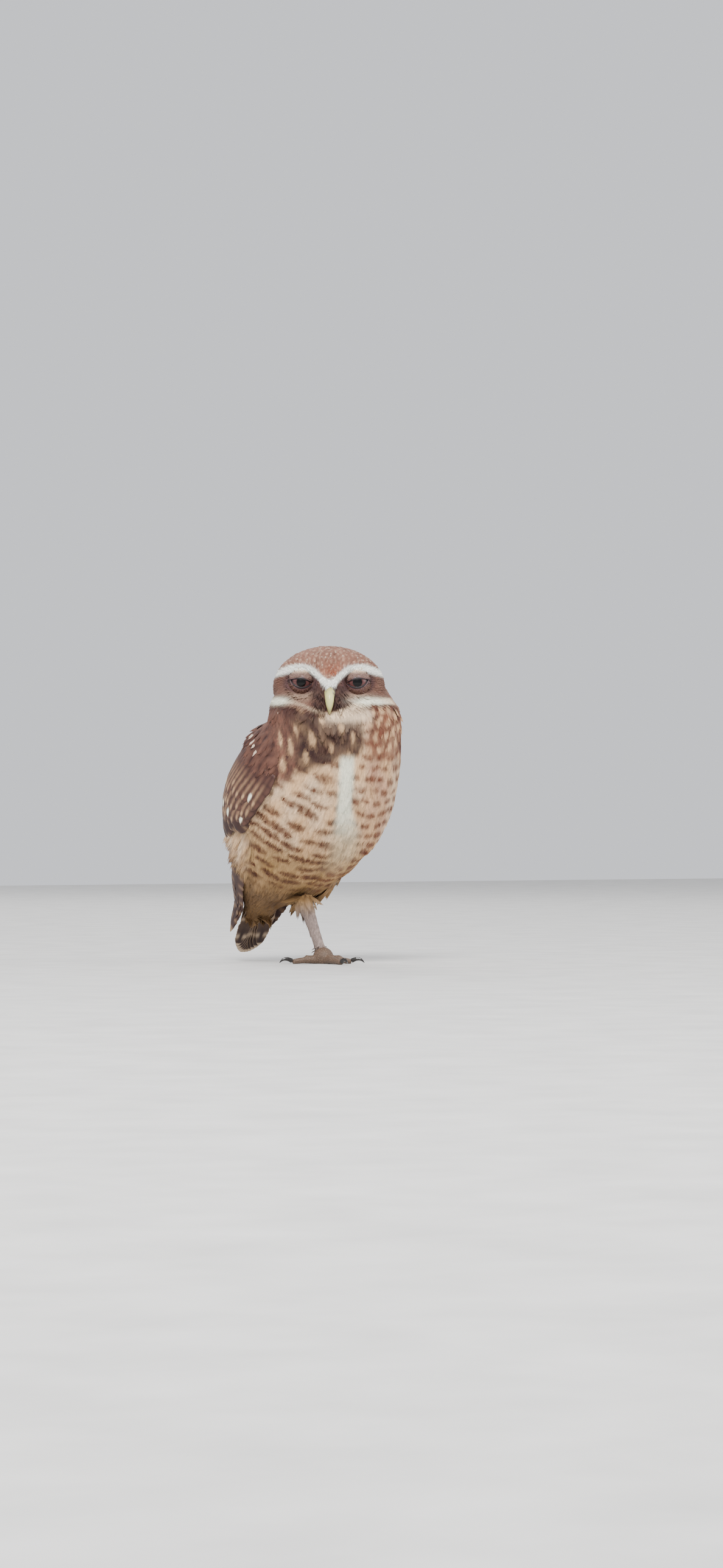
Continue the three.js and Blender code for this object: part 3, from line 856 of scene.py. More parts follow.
@dataclass(frozen=True)
class Skin:
    """One skin over torso, neck, head and the feathered legs, inside their plumage."""

    body_inset: float = 3.4
    head_inset: float = 2.2
    leg_inset: float = 1.2
    shoulder: float = 3.6
    ruff: float = 2.4
    throat: float = 8.0
    lid: float = 8.75
    lid_room: float = 0.9
    rump: float = 1.6
    voxel: float = 1.25
    rounds: int = 6
    body_grid: tuple[int, int] = (76, 64)
    head_grid: tuple[int, int] = (60, 96)
    legs: tuple[str, ...] = ("thigh_right", "tarsus_right", "tarsus_left")
    flesh: tuple[str, ...] = ("torso", "neck", "head")

    def shell(self) -> tuple[Array, list]:
        """The body's loft and the head's ball, each one closed shell."""
        rings, sides = self.body_grid
        stations = np.linspace(self.rump, BODY.last, rings)
        angles = np.linspace(0, 360, sides, endpoint=False)
        station, angle = (g.ravel() for g in np.meshgrid(stations, angles, indexing="ij"))
        cover = Wing.cover(station, angle) * step(station, 8.9, 7.6)
        inset = self.body_inset - self.shoulder * cover - self.ruff * hill(station - 9.8, 0.8)
        body = BODY.point(station, angle, -inset).reshape(rings, sides, 3)
        rings, sides = self.head_grid
        polar, turn = np.meshgrid(np.linspace(0.03, math.pi - 0.03, rings),
                                  np.linspace(0, 2 * math.pi, sides, endpoint=False), indexing="ij")
        head = HEAD.outward(HEAD.surface(polar, turn, self.head_inset).reshape(-1, 3))
        return Piece.joined(Piece.tube(body), Piece.tube(head.reshape(rings, sides, 3)))

    def limb(self, node: str) -> tuple[Array, list]:
        """A packed leg's own shape, merged and drawn in by the down's depth."""
        work = bmesh.new()
        work.from_mesh(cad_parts[node].data)
        bmesh.ops.remove_doubles(work, verts=work.verts, dist=1e-5)
        bmesh.ops.recalc_face_normals(work, faces=work.faces)
        work.normal_update()
        points = np.array([v.co / MM - v.normal * self.leg_inset for v in work.verts])
        faces = [tuple(v.index for v in face.verts) for face in work.faces]
        work.free()
        return points, faces

    def under_bill(self, points: Array) -> Array:
        """Draws the throat back so that the bill's hook stands free of it."""
        local = HEAD.inward(points)
        room = hill(local[:, 0], 7.5) * hill(local[:, 2] + 17, 7) * step(local[:, 1], -14, -24)
        return points + HEAD.outward(np.outer(self.throat * room, (0, 1, 0)), 0)

    def build(self) -> bpy.types.Object:
        """Joins the shells and smooths their seams away.

        Returns:
            The skin, with the pattern and the regions stored at its points.
        """
        points, faces = Piece.joined(self.shell(), *(self.limb(node) for node in self.legs))
        skin = Piece.mesh("skin", self.under_bill(points), faces)
        Piece.fuse(skin, self.voxel, self.rounds)
        self.open_eyes(skin)
        self.mark(skin)
        return skin

    def open_eyes(self, skin: bpy.types.Object) -> None:
        """Draws the skin back under both lids, so that they stand free."""
        local = HEAD.inward(Piece.read(skin.data) / MM)
        away = np.hypot(np.abs(local[:, 0]) - HEAD.eye[0], local[:, 2] - HEAD.eye[2])
        lid = HEAD.eye[1] - np.sqrt(np.maximum(0, self.lid**2 - away**2)) + self.lid_room
        share = step(away, self.lid + 0.6, self.lid - 1.6) * (local[:, 1] < 0)
        local[:, 1] += share * np.maximum(0, lid - local[:, 1])
        Piece.move(skin.data, HEAD.outward(local))

    def mark(self, skin: bpy.types.Object) -> None:
        """Stores colour, direction, map and regions at the skin's points."""
        points, normals = Piece.read(skin.data) / MM, Piece.read(skin.data, "normal")
        marks = Markings(points)
        leg = step(points[:, 2], 44, 38) * step(marks.station, 3.2, 3.6)
        foot = (np.hypot(points[:, 0] + 3, points[:, 1] - 9) < 13) & (points[:, 2] < 40)
        leg = np.maximum(leg, foot)
        covert = Wing.cover(marks.station, marks.degrees)
        turned = Wing.unturned(marks.degrees)
        tuft = step(turned, 66, 76) * step(turned, 128, 116) * hill(marks.station - 4.9, 0.7)
        noise = ripple(points, 7, 31)
        mantle = mix(PLUMAGE.brown * 0.85, PLUMAGE.dark * 0.8, 0.35 + 0.6 * noise)
        tint = layered(
            marks.tint(),
            (mantle, covert * (1 - marks.head_share)),
            (PLUMAGE.straw, leg),
            # From 46 mm down to 30 mm the legs turn mauve-grey: partly the grey of the sparsely feathered
            # tarsus, partly painted shade.
            (paint(162, 148, 142), leg * step(points[:, 2], 46, 30)),
            (mix(PLUMAGE.cream, PLUMAGE.buff, 0.5 + 0.5 * noise), tuft * 0.9),
        )
        way = marks.lie(normals)
        sideways = np.column_stack([np.sign(points[:, 0]) * 0.1, np.full((len(points), 2), (0.8, -0.7))])
        for other, share in ((np.array([0, 0, -1.0]), leg[:, None]), (sideways, tuft[:, None])):
            way = unit(way * (1 - share) + level(other, normals) * share)
        for region, mask in self.regions(marks, leg, covert, tuft).items():
            Piece.store(skin.data, region.value, mask)
        Piece.dye(skin.data, tint)
        Piece.store(skin.data, "lie", way)
        Piece.store(skin.data, "unwrap", marks.unwrap())

    @staticmethod
    def regions(marks: Markings, leg: Array, covert: Array, tuft: Array) -> dict[Region, Array]:
        """Where each sort of feather grows.

        Args:
            marks: The pattern at the skin's points.
            leg: The share of the legs' down.
            covert: The share of the small wing feathers.
            tuft: The share of the long flank feathers.

        Returns:
            A mask from 0 to 1 for each region.
        """
        across, deep, up = marks.face.T
        head, side = marks.head_share, marks.side
        reach = np.hypot(side - HEAD.eye[0], (up - HEAD.eye[2]) * 1.25)
        disc = head * step(deep, -4, -9) * step(up - HEAD.brow(side), 5, 3)
        lore = step(side, 12, 8) * step(up, 1, -2) * step(deep, -17, -20) * (up > -22) * head
        bill = np.hypot(across, (up + 9.5) * 0.45) < 3.6
        turned = Wing.unturned(marks.degrees)
        wing = step(turned, 80, 88) * step(turned, 172, 164) * step(marks.station, 3.3, 4.0)
        wing *= step(marks.station, 8.6, 8.2)
        wing *= 1 - step(turned, 118, 108) * step(marks.station, 5.4, 5.0)
        trunk = (1 - head) * (1 - leg) * (1 - wing)
        front = step(np.abs(marks.degrees), 110, 100)
        upper = step(marks.station, 7.1, 7.3)
        low = step(marks.station, 4.5, 4.3)
        return {
            Region.BREAST: trunk * front * upper,
            Region.BELLY: trunk * front * (1 - upper) * (1 - low),
            Region.BACK: trunk * (1 - front) * (1 - low),
            Region.VENT: trunk * low,
            Region.CROWN: head * (1 - disc),
            Region.FACE: disc * step(reach, 10.5, 12) * ~(bill & (deep < -20)),
            Region.RIM: disc * step(reach, 13, 12) * step(reach, 7.0, 7.6),
            Region.LORE: lore * ~bill * step(reach, 9, 10),
            Region.LEG: leg,
            Region.COVERT: covert * (1 - head) * step(marks.station, 6.3, 6.7),
            Region.FLANK: tuft > 0.3,
            Region.TUCK: hill(marks.degrees - 66, 22) * hill(marks.station - 3.7, 0.7) > 0.3,
        }


@dataclass(frozen=True)
class Feather:
    """The sizes of one sort of small feather, in millimetres, and how it is set."""

    region: Region
    spacing: float
    length: float
    width: float
    lift: float
    curl: float = 0.8
    ragged: float = 0.09
    spread: float = 0.22
    across: int = 9
    rows: int = 5
    seed: int = 1


class Coat:
    """Small feathers grown over a region of the skin by Geometry Nodes."""

    INPUTS = (
        ("Region", "NodeSocketString"), ("Spacing", "NodeSocketFloat"), ("Length", "NodeSocketFloat"),
        ("Width", "NodeSocketFloat"), ("Lift", "NodeSocketFloat"), ("Curl", "NodeSocketFloat"),
        ("Ragged", "NodeSocketFloat"), ("Spread", "NodeSocketFloat"), ("Across", "NodeSocketInt"),
        ("Rows", "NodeSocketInt"), ("Seed", "NodeSocketInt"), ("Finish", "NodeSocketMaterial"),
    )
    PATCH = 0.003
    DENSITY = 1.6e6
    SAMENESS = 0.86

    def __init__(self) -> None:
        """Builds the tree once, for every region."""
        self.group = bpy.data.node_groups.new("small_feathers", "GeometryNodeTree")
        face = self.group.interface
        face.new_socket("Geometry", in_out="INPUT", socket_type="NodeSocketGeometry")
        self.sockets = {
            name: face.new_socket(name, in_out="INPUT", socket_type=kind).identifier
            for name, kind in self.INPUTS
        }
        face.new_socket("Geometry", in_out="OUTPUT", socket_type="NodeSocketGeometry")
        self.tree = Tree(self.group)
        self.wire()

    def feather(self, inputs: bpy.types.Node) -> bpy.types.NodeSocket:
        """One feather of length and width 1, its root at the origin and its tip along Y."""
        t, out = self.tree, inputs.outputs
        grid = t.add("GeometryNodeMeshGrid", 1.0, 1.0, out["Across"], out["Rows"])
        place = t.add("ShaderNodeSeparateXYZ", t.add("GeometryNodeInputPosition"))
        side, along = place.outputs["X"], t.plus(place.outputs["Y"], 0.5)
        named = self.keep(grid.outputs["Mesh"], "Feather", grid.outputs["UV Map"], "FLOAT2", "CORNER")
        square = t.times(t.times(side, side), 4.0)
        swell = t.math("SINE", t.times(t.math("POWER", along, 0.8), 2.5))
        wide = t.times(side, t.plus(t.times(swell, 0.74), 0.24))
        tip = t.times(along, along)
        steps = t.times(t.plus(side, 0.5), t.minus(out["Across"], 1.0))
        teeth = t.math("COSINE", t.times(steps, math.pi))
        jag = t.times(t.times(teeth, out["Ragged"]), tip)
        round_off = t.times(t.times(square, 0.36), tip)
        ahead = t.plus(t.minus(along, round_off), jag)
        bend = t.times(t.times(tip, out["Curl"]), -0.22)
        height = t.minus(bend, t.times(square, 0.05))
        shape = t.add("ShaderNodeCombineXYZ", wide, ahead, height)
        moved = t.add("GeometryNodeSetPosition", named)
        t.put(moved.inputs["Position"], shape)
        return moved.outputs[0]

    def attribute(self, name: str | bpy.types.NodeSocket, kind: str) -> bpy.types.NodeSocket:
        """Reads a named attribute of the geometry."""
        node = self.tree.add("GeometryNodeInputNamedAttribute", data_type=kind)
        self.tree.put(node.inputs["Name"], name)
        return next(out for out in node.outputs if out.enabled and out.name == "Attribute")

    def chance(self, low: float, high: float, seed: int) -> bpy.types.NodeSocket:
        """A random number for each feather."""
        node = self.tree.add("FunctionNodeRandomValue", data_type="FLOAT")
        values = {"Min": low, "Max": high, "Seed": seed}
        for socket in node.inputs:
            if socket.enabled and socket.name in values:
                socket.default_value = values[socket.name]
        return next(out for out in node.outputs if out.enabled)

    def keep(self, geometry: object, name: str, value: object, kind: str, domain: str) -> bpy.types.Node:
        """Stores a value under a name.

        Args:
            geometry: Where it is stored.
            name: The attribute's name.
            value: What is stored.
            kind: The attribute's type.
            domain: Points, corners or instances.

        Returns:
            The node, whose first output is the geometry.
        """
        node = self.tree.add("GeometryNodeStoreNamedAttribute", geometry, data_type=kind, domain=domain)
        node.inputs["Name"].default_value = name
        self.tree.put(next(s for s in node.inputs if s.name == "Value" and s.enabled), value)
        return node

    def wire(self) -> None:
        """Links the whole tree."""
        t = self.tree
        inputs = t.add("NodeGroupInput")
        out = inputs.outputs
        scatter = t.add("GeometryNodeDistributePointsOnFaces", out["Geometry"], distribute_method="POISSON")
        t.put(scatter.inputs["Distance Min"], t.times(out["Spacing"], MM))
        square = t.times(out["Spacing"], out["Spacing"])
        t.put(scatter.inputs["Density Max"], t.math("DIVIDE", self.DENSITY, square))
        t.put(scatter.inputs["Density Factor"], self.attribute(out["Region"], "FLOAT"))
        t.put(scatter.inputs["Seed"], out["Seed"])
        upright = t.add("FunctionNodeAlignRotationToVector", axis="Z")
        t.put(upright.inputs["Vector"], scatter.outputs["Normal"])
        laid = t.add("FunctionNodeAlignRotationToVector", axis="Y", pivot_axis="Z")
        t.put(laid.inputs["Rotation"], upright)
        t.put(laid.inputs["Vector"], self.attribute("lie", "FLOAT_VECTOR"))
        tilt = t.add("FunctionNodeEulerToRotation")
        angles = t.add("ShaderNodeCombineXYZ", t.times(out["Lift"], self.chance(0.65, 1.35, 1)),
                       t.times(out["Spread"], self.chance(-1, 1, 2)),
                       t.times(out["Spread"], self.chance(-1, 1, 3)))
        t.put(tilt.inputs[0], angles)
        turned = t.add("FunctionNodeRotateRotation", rotation_space="LOCAL")
        t.put(turned.inputs["Rotation"], laid)
        t.put(turned.inputs["Rotate By"], tilt)
        length = t.times(t.times(out["Length"], self.chance(0.8, 1.2, 4)), MM)
        width = t.times(t.times(out["Width"], self.chance(0.8, 1.2, 5)), MM)
        size = t.add("ShaderNodeCombineXYZ", width, length, length)
        placed = t.add("GeometryNodeInstanceOnPoints", scatter.outputs["Points"])
        t.put(placed.inputs["Instance"], self.feather(inputs))
        t.put(placed.inputs["Rotation"], turned)
        t.put(placed.inputs["Scale"], size)
        toned = self.keep(placed, "tone", self.chance(0, 1, 6), "FLOAT", "INSTANCE")
        real = t.add("GeometryNodeRealizeInstances", toned)
        tint = self.attribute("tint", "FLOAT_COLOR")
        near = t.add("GeometryNodeSampleNearestSurface", out["Geometry"], data_type="FLOAT_COLOR")
        t.put(next(s for s in near.inputs if s.name == "Value" and s.enabled), tint)
        dyed = self.keep(real, "tint", t.blend(self.SAMENESS, tint, near), "FLOAT_COLOR", "POINT")
        patch = t.vector("SUBTRACT", self.attribute("Feather", "FLOAT_VECTOR"), (0.5, 0.5, 0.0))
        place = t.vector("ADD", self.attribute("unwrap", "FLOAT_VECTOR"), t.scale(patch, self.PATCH))
        baked = self.keep(dyed, "OFBake", place, "FLOAT2", "CORNER")
        smooth = t.add("GeometryNodeSetShadeSmooth", baked)
        dressed = t.add("GeometryNodeSetMaterial", smooth)
        t.put(dressed.inputs["Material"], out["Finish"])
        t.add("NodeGroupOutput", dressed)

    def grow(self, skin: bpy.types.Object, feather: Feather, finish: bpy.types.Material,
             suffix: str = "") -> bpy.types.Object:
        """Grows one region's feathers as a plain mesh.

        Args:
            skin: The marked skin.
            feather: The sort of feather.
            finish: Its material.
            suffix: What the piece's name ends in.

        Returns:
            The new piece.
        """
        made = Piece.place("coat_" + feather.region.value + suffix, skin.data.copy())
        grown = made.modifiers.new("grow", "NODES")
        grown.node_group = self.group
        for name, socket in self.sockets.items():
            value = finish if name == "Finish" else getattr(feather, name.lower())
            grown[socket] = value.value if isinstance(value, Region) else value
        Piece.bake(made)
        return made


@dataclass
class Vanes:
    """Long feathers gathered into one piece: each a thin closed blade swept over the body."""

    name: str
    thick: float = 0.45
    cells: int = 12
    points: list[Array] = field(default_factory=list)
    faces: list[tuple[int, ...]] = field(default_factory=list)
    tints: list[Array] = field(default_factory=list)
    maps: list[Array] = field(default_factory=list)
    count: int = 0

    def outline(self, along: Array) -> Array:
        """The blade's half width as a share, from its root to its rounded tip."""
        return np.interp(along, (0, 0.08, 0.35, 0.75, 0.9, 0.96, 1), (0.3, 0.6, 1, 0.95, 0.72, 0.48, 0.12))

    def add(self, place: Place, width: float, roll: float, grid: tuple[int, int], dye: Dye,
            seed: int) -> None:
        """Adds one feather.

        Args:
            place: Gives the points and the outward directions at shares of the length.
            width: Its greatest width.
            roll: How far it is turned over its neighbour.
            grid: How many points it has across and along.
            dye: Gives the colours at places across (-1 to 1), along (0 to 1) and along in millimetres.
            seed: Chooses its unevenness.
        """
        wide, long = grid
        rng = np.random.default_rng(seed)
        along = np.linspace(0, 1, long) ** 0.92
        centre, normal = place(along)
        run = unit(np.gradient(centre, axis=0))
        side = unit(np.cross(normal, run))
        share = np.linspace(-1, 1, wide)
        fray = 1 + 0.05 * rng.normal(size=(long, 2)).clip(-1.5, 1.5) * step(along, 0.1, 0.5)[:, None]
        half = width / 2 * self.outline(along)[:, None] * np.where(share < 0, fray[:, :1], fray[:, 1:])
        off = half * share
        shaft = 0.22 * hill(share - 0.08, 0.09) * (1 - 0.7 * along[:, None])
        droop = (step(along, 0.86, 1) * 0.5)[:, None]
        height = off * roll - off**2 / 60 - 0.15 * np.abs(share) ** 3 + shaft - droop
        top = centre[:, None] + side[:, None] * off[..., None] + normal[:, None] * height[..., None]
        under = top - normal[:, None] * (self.thick * (1 - 0.75 * np.abs(share)) + shaft)[..., None]
        start = sum(len(p) for p in self.points)
        self.points += [top.reshape(-1, 3), under.reshape(-1, 3)]
        size = wide * long
        for row in range(long - 1):
            for column in range(wide - 1):
                a = start + row * wide + column
                self.faces.append((a, a + 1, a + wide + 1, a + wide))
                b = a + size
                self.faces.append((b, b + wide, b + wide + 1, b + 1))
        rim = ([(0, c) for c in range(wide)] + [(r, wide - 1) for r in range(1, long)]
               + [(long - 1, c) for c in range(wide - 2, -1, -1)] + [(r, 0) for r in range(long - 2, 0, -1)])
        ring = [start + r * wide + c for r, c in rim]
        for a, b in zip(ring, ring[1:] + ring[:1]):
            self.faces.append((b, a, a + size, b + size))
        across, ahead = (g.ravel() for g in np.meshgrid(share, along))
        length = np.linalg.norm(np.diff(centre, axis=0), axis=1).sum()
        colour = dye(across, ahead, ahead * length, rng)
        # Painted shade: each blade's underside gets its top colours darkened to 85 %.
        self.tints += [colour, colour * 0.85]
        cell = np.array([self.count % self.cells, self.count // self.cells])
        flat = (cell + 0.04 + 0.92 * np.column_stack([(across + 1) / 2, ahead])) / self.cells
        self.maps += [flat, flat]
        self.count += 1

    def build(self) -> bpy.types.Object:
        """Turns the gathered feathers into one object with its colours and its map."""
        made = Piece.mesh(self.name, np.vstack(self.points), self.faces)
        Piece.dye(made.data, np.vstack(self.tints))
        flat = np.vstack(self.maps)
        corners = np.array([corner.vertex_index for corner in made.data.loops])
        layer = made.data.uv_layers.new(name="OFBake")
        layer.data.foreach_set("uv", flat[corners].astype(np.float32).ravel())
        return made


def lerp(pair: tuple, share: float) -> Array:
    """A value between two."""
    return np.asarray(pair[0], float) * (1 - share) + np.asarray(pair[1], float) * share


class Kind(Enum):
    """The kinds of wing feather, each with its own pattern."""

    FLIGHT = "flight"
    DARK = "dark"
    COVERT = "covert"
    LESSER = "lesser"


@dataclass(frozen=True)
class Tier:
    """One row of wing feathers: roots and tips as (station, angle), from the belly's side to the back."""

    kind: Kind
    count: int
    root: tuple[Pair, Pair]
    tip: tuple[Pair, Pair]
    width: float
    rise: Pair
    grid: tuple[int, int]
    reach: float = 0.0


@dataclass(frozen=True)
class Wing:
    """One folded wing: flight feathers beneath, coverts and scapulars in rows above them."""

    side: int
    roll: float = 0.13
    tiers: tuple[Tier, ...] = (
        Tier(Kind.FLIGHT, 9, ((4.9, 84), (4.9, 114)), ((1.7, 93), (2.2, 125)), 14, (-2.0, 2.6), (11, 44),
             1.1),
        Tier(Kind.DARK, 11, ((6.4, 78), (5.9, 152)), ((5.35, 84), (3.3, 150)), 14, (0.3, 1.9), (13, 34)),
        Tier(Kind.COVERT, 15, ((7.0, 74), (6.7, 140)), ((5.75, 79), (4.5, 146)), 8.6, (0.4, 2.4), (11, 22)),
        Tier(Kind.COVERT, 15, ((7.4, 73), (7.0, 138)), ((6.15, 76), (5.1, 144)), 8.2, (0.5, 2.7), (11, 20)),
        Tier(Kind.COVERT, 15, ((7.7, 71), (7.4, 136)), ((6.6, 74), (5.7, 142)), 7.8, (0.5, 3.0), (11, 20)),
        Tier(Kind.COVERT, 5, ((7.2, 142), (7.0, 172)), ((4.9, 148), (4.7, 170)), 14, (0.6, 2.4), (13, 24)),
        Tier(Kind.COVERT, 5, ((7.8, 138), (7.6, 172)), ((5.9, 146), (5.7, 170)), 14, (0.6, 3.0), (13, 24)),
    )
    set_back: ClassVar[float] = 18.0
    front: ClassVar[float] = 62.0
    back: ClassVar[float] = 173.0

    @classmethod
    def turned(cls, degrees: Array, side: int) -> Array:
        """The wing's own angle as the body's: the left wing lies further back, under the turned breast."""
        shift = cls.set_back * (cls.back - degrees) / (cls.back - cls.front) if side > 0 else 0
        return side * (degrees + shift)

    @classmethod
    def unturned(cls, degrees: Array) -> Array:
        """The body's angle as the angle of whichever wing lies there, always positive."""
        ratio = cls.set_back / (cls.back - cls.front)
        return np.where(degrees > 0, (degrees - ratio * cls.back) / (1 - ratio), -degrees)

    @classmethod
    def cover(cls, station: Array, degrees: Array) -> Array:
        """Where the small wing feathers lie, from 0 to 1."""
        wide = (np.asarray(degrees) + 180) % 360 - 180
        angle = cls.unturned(wide)
        edge = 68 + 22 * step(station, 7.8, 9.0)
        inside = step(angle, edge, edge + 7) * step(angle, 178, 170)
        return inside * step(station, 5.6, 6.3) * step(station, 9.0, 8.3)

    def dye(self, kind: Kind, middle: bool) -> Dye:
        """The colouring of one kind of feather.

        Args:
            kind: Which pattern it has.
            middle: Whether a covert has its large pale spot.

        Returns:
            The function that colours a feather's points.
        """

        def colour(across: Array, along: Array, ahead: Array, rng: np.random.Generator) -> Array:
            """Brown, darker near the shaft and the tip's edge, with pale bars or spots."""
            shade = rng.uniform(-0.12, 0.12)
            base = PLUMAGE.brown * 0.72 * (1 + shade)
            base = mix(base, PLUMAGE.dark * 0.8, 0.3 + 0.5 * hill(across, 0.35) - 0.2 * step(along, 0.3, 1))
            if kind in (Kind.FLIGHT, Kind.DARK):
                base = mix(base, PLUMAGE.dark * 0.65, 0.6 + 0.3 * step(along, 0.5, 1))
                band = hill((ahead + rng.uniform(-1, 1)) % 9 - 4.5, 1.6)
                pale = 0.24 if kind is Kind.FLIGHT else 0.22
                base = mix(base, PLUMAGE.buff, band * step(np.abs(across), 0.2, 0.62) * pale)
                return mix(base, PLUMAGE.buff, step(along, 0.955, 0.99) * 0.5)
            outer = across * self.side
            back = ahead.max() - ahead
            if kind is Kind.COVERT:
                base = mix(base, PLUMAGE.dark * 0.6, hill((ahead + rng.uniform(0, 6)) % 6.5 - 3, 1.2) * 0.55)
                base = mix(base, PLUMAGE.dark * 0.6, step(np.abs(across), 0.7, 1) * 0.5)
                base = mix(base, PLUMAGE.buff, 0.24 * hill(outer - 0.35, 0.3) * step(along, 0.2, 0.6))
                if middle:
                    spot = np.hypot((outer - 0.42) / 0.45, (back - 5.0) / 3.4)
                    return mix(base, PLUMAGE.white, (1 - step(spot, 0.7, 1.05)) * 0.95)
                spot = np.hypot((outer - 0.3) / 0.36, (back - rng.uniform(3.5, 6)) / rng.uniform(1.6, 2.8))
                return mix(base, PLUMAGE.buff * 0.8, (1 - step(spot, 0.5, 1.3)) * rng.uniform(0.3, 0.75))
            spot = np.hypot((across - rng.uniform(-0.2, 0.2)) / 0.42, (back - 3.2) / 2.3)
            base = mix(base, PLUMAGE.cream, (1 - step(spot, 0.65, 1.1)) * 0.85)
            return mix(base, PLUMAGE.buff, step(back, 1.4, 0.3) * 0.5)

        return colour

    def build(self) -> bpy.types.Object:
        """Makes the wing's feathers, row by row from the lowest up."""
        vanes = Vanes("wing_plumes_right" if self.side < 0 else "wing_plumes_left")
        for number, tier in enumerate(self.tiers):
            for index in range(tier.count):
                share = index / (tier.count - 1)
                seed = 100 * number + index + (5000 if self.side > 0 else 0)
                rng = np.random.default_rng(seed)
                start, end = lerp(tier.root, share), lerp(tier.tip, share)
                end = end - (tier.reach * math.sin(math.pi * min(1, share * 1.4)), 0)
                end = end + rng.uniform(-1, 1, 2) * ((0.04, 0.3) if tier.kind is Kind.FLIGHT else (0.12, 1.2))

                def place(along: Array, start: Array = start, end: Array = end, tier: Tier = tier) -> tuple:
                    """The feather's middle line on the body."""
                    station = start[0] + (end[0] - start[0]) * along
                    angle = self.turned(start[1] + (end[1] - start[1]) * along, self.side)
                    normal = BODY.normal(station, angle)
                    rise = tier.rise[0] + (tier.rise[1] - tier.rise[0]) * step(along, 0, 1)
                    return BODY.point(station, angle) + normal * rise[:, None], normal

                vanes.add(place, tier.width, self.side * self.roll, tier.grid,
                          self.dye(tier.kind, rng.random() < 0.2), seed)
        return vanes.build()


@dataclass(frozen=True)
class Tail:
    """Twelve tail feathers in a closed fan, the middle pair on top, with shorter coverts above and below."""

    count: int = 12
    root_spread: float = 4.5
    tip_spread: float = 8.6
    width: float = 12.0
    step: float = 0.42
    shorter: float = 0.28

    @staticmethod
    def dye(across: Array, along: Array, ahead: Array, rng: np.random.Generator) -> Array:
        """Brown with pale bars, a darker end band and a pale fringe."""
        base = paint(104, 84, 72)
        base = mix(base, paint(76, 56, 50), 0.3 * hill(across, 0.3) + step(along, 0.72, 0.86) * 0.75)
        band = hill((ahead + rng.uniform(-0.6, 0.6)) % 13 - 6.5, 1.5)
        base = mix(base, PLUMAGE.cream, band * step(np.abs(across), 0.12, 0.5) * 0.4)
        base = mix(base, paint(170, 150, 130), step(np.abs(across), 0.82, 1) * 0.7)
        return mix(base, PLUMAGE.cream, step(along, 0.965, 0.99) * 0.7)

    def place(self, offset: float, start: float, end: float, lift: float) -> Place:
        """One feather's middle line beside the spine's end.

        Args:
            offset: From -1 at the right edge of the fan to 1 at the left.
            start: The station of its root.
            end: The station of its tip.
            lift: Its height over the fan's middle.

        Returns:
            The function of the length that gives points and outward directions.
        """

        def line(along: Array) -> tuple[Array, Array]:
            """Points and directions."""
            station = start + (end - start) * along
            back = BODY.back(station)
            spread = offset * (self.root_spread + (self.tip_spread - self.root_spread) * along)
            return BODY.centre(station) + back * lift + np.outer(spread, (1, 0, 0)), back

        return line

    def build(self) -> bpy.types.Object:
        """Makes the tail feathers and their coverts."""
        vanes = Vanes("tail_plumes")
        for index in range(self.count):
            offset = 2 * index / (self.count - 1) - 1
            height = 1.5 - abs(offset) * self.count * 0.5 * self.step + (index % 2) * 0.1
            line = self.place(offset, 3, 0.12 + self.shorter * offset**2, height)
            vanes.add(line, self.width, 0.0, (13, 56), self.dye, 900 + index)
        for index in range(7):
            offset = (2 * index / 6 - 1) * 0.9
            vanes.add(self.place(offset, 3.4, 1.9 - 0.2 * abs(offset), 3.6 - 2.2 * abs(offset)), 10, 0.0,
                      (11, 26), Wing(1).dye(Kind.LESSER, False), 950 + index)
            vanes.add(self.place(offset, 3.2, 1.55 + 0.3 * abs(offset), -3.2 + 0.8 * abs(offset)), 9, 0.0,
                      (11, 26), self.pale, 970 + index)
        return vanes.build()

    @staticmethod
    def pale(across: Array, along: Array, ahead: Array, rng: np.random.Generator) -> Array:
        """The plain pale coverts beneath."""
        return mix(paint(170, 152, 124), PLUMAGE.cream, 0.3 + 0.4 * along)


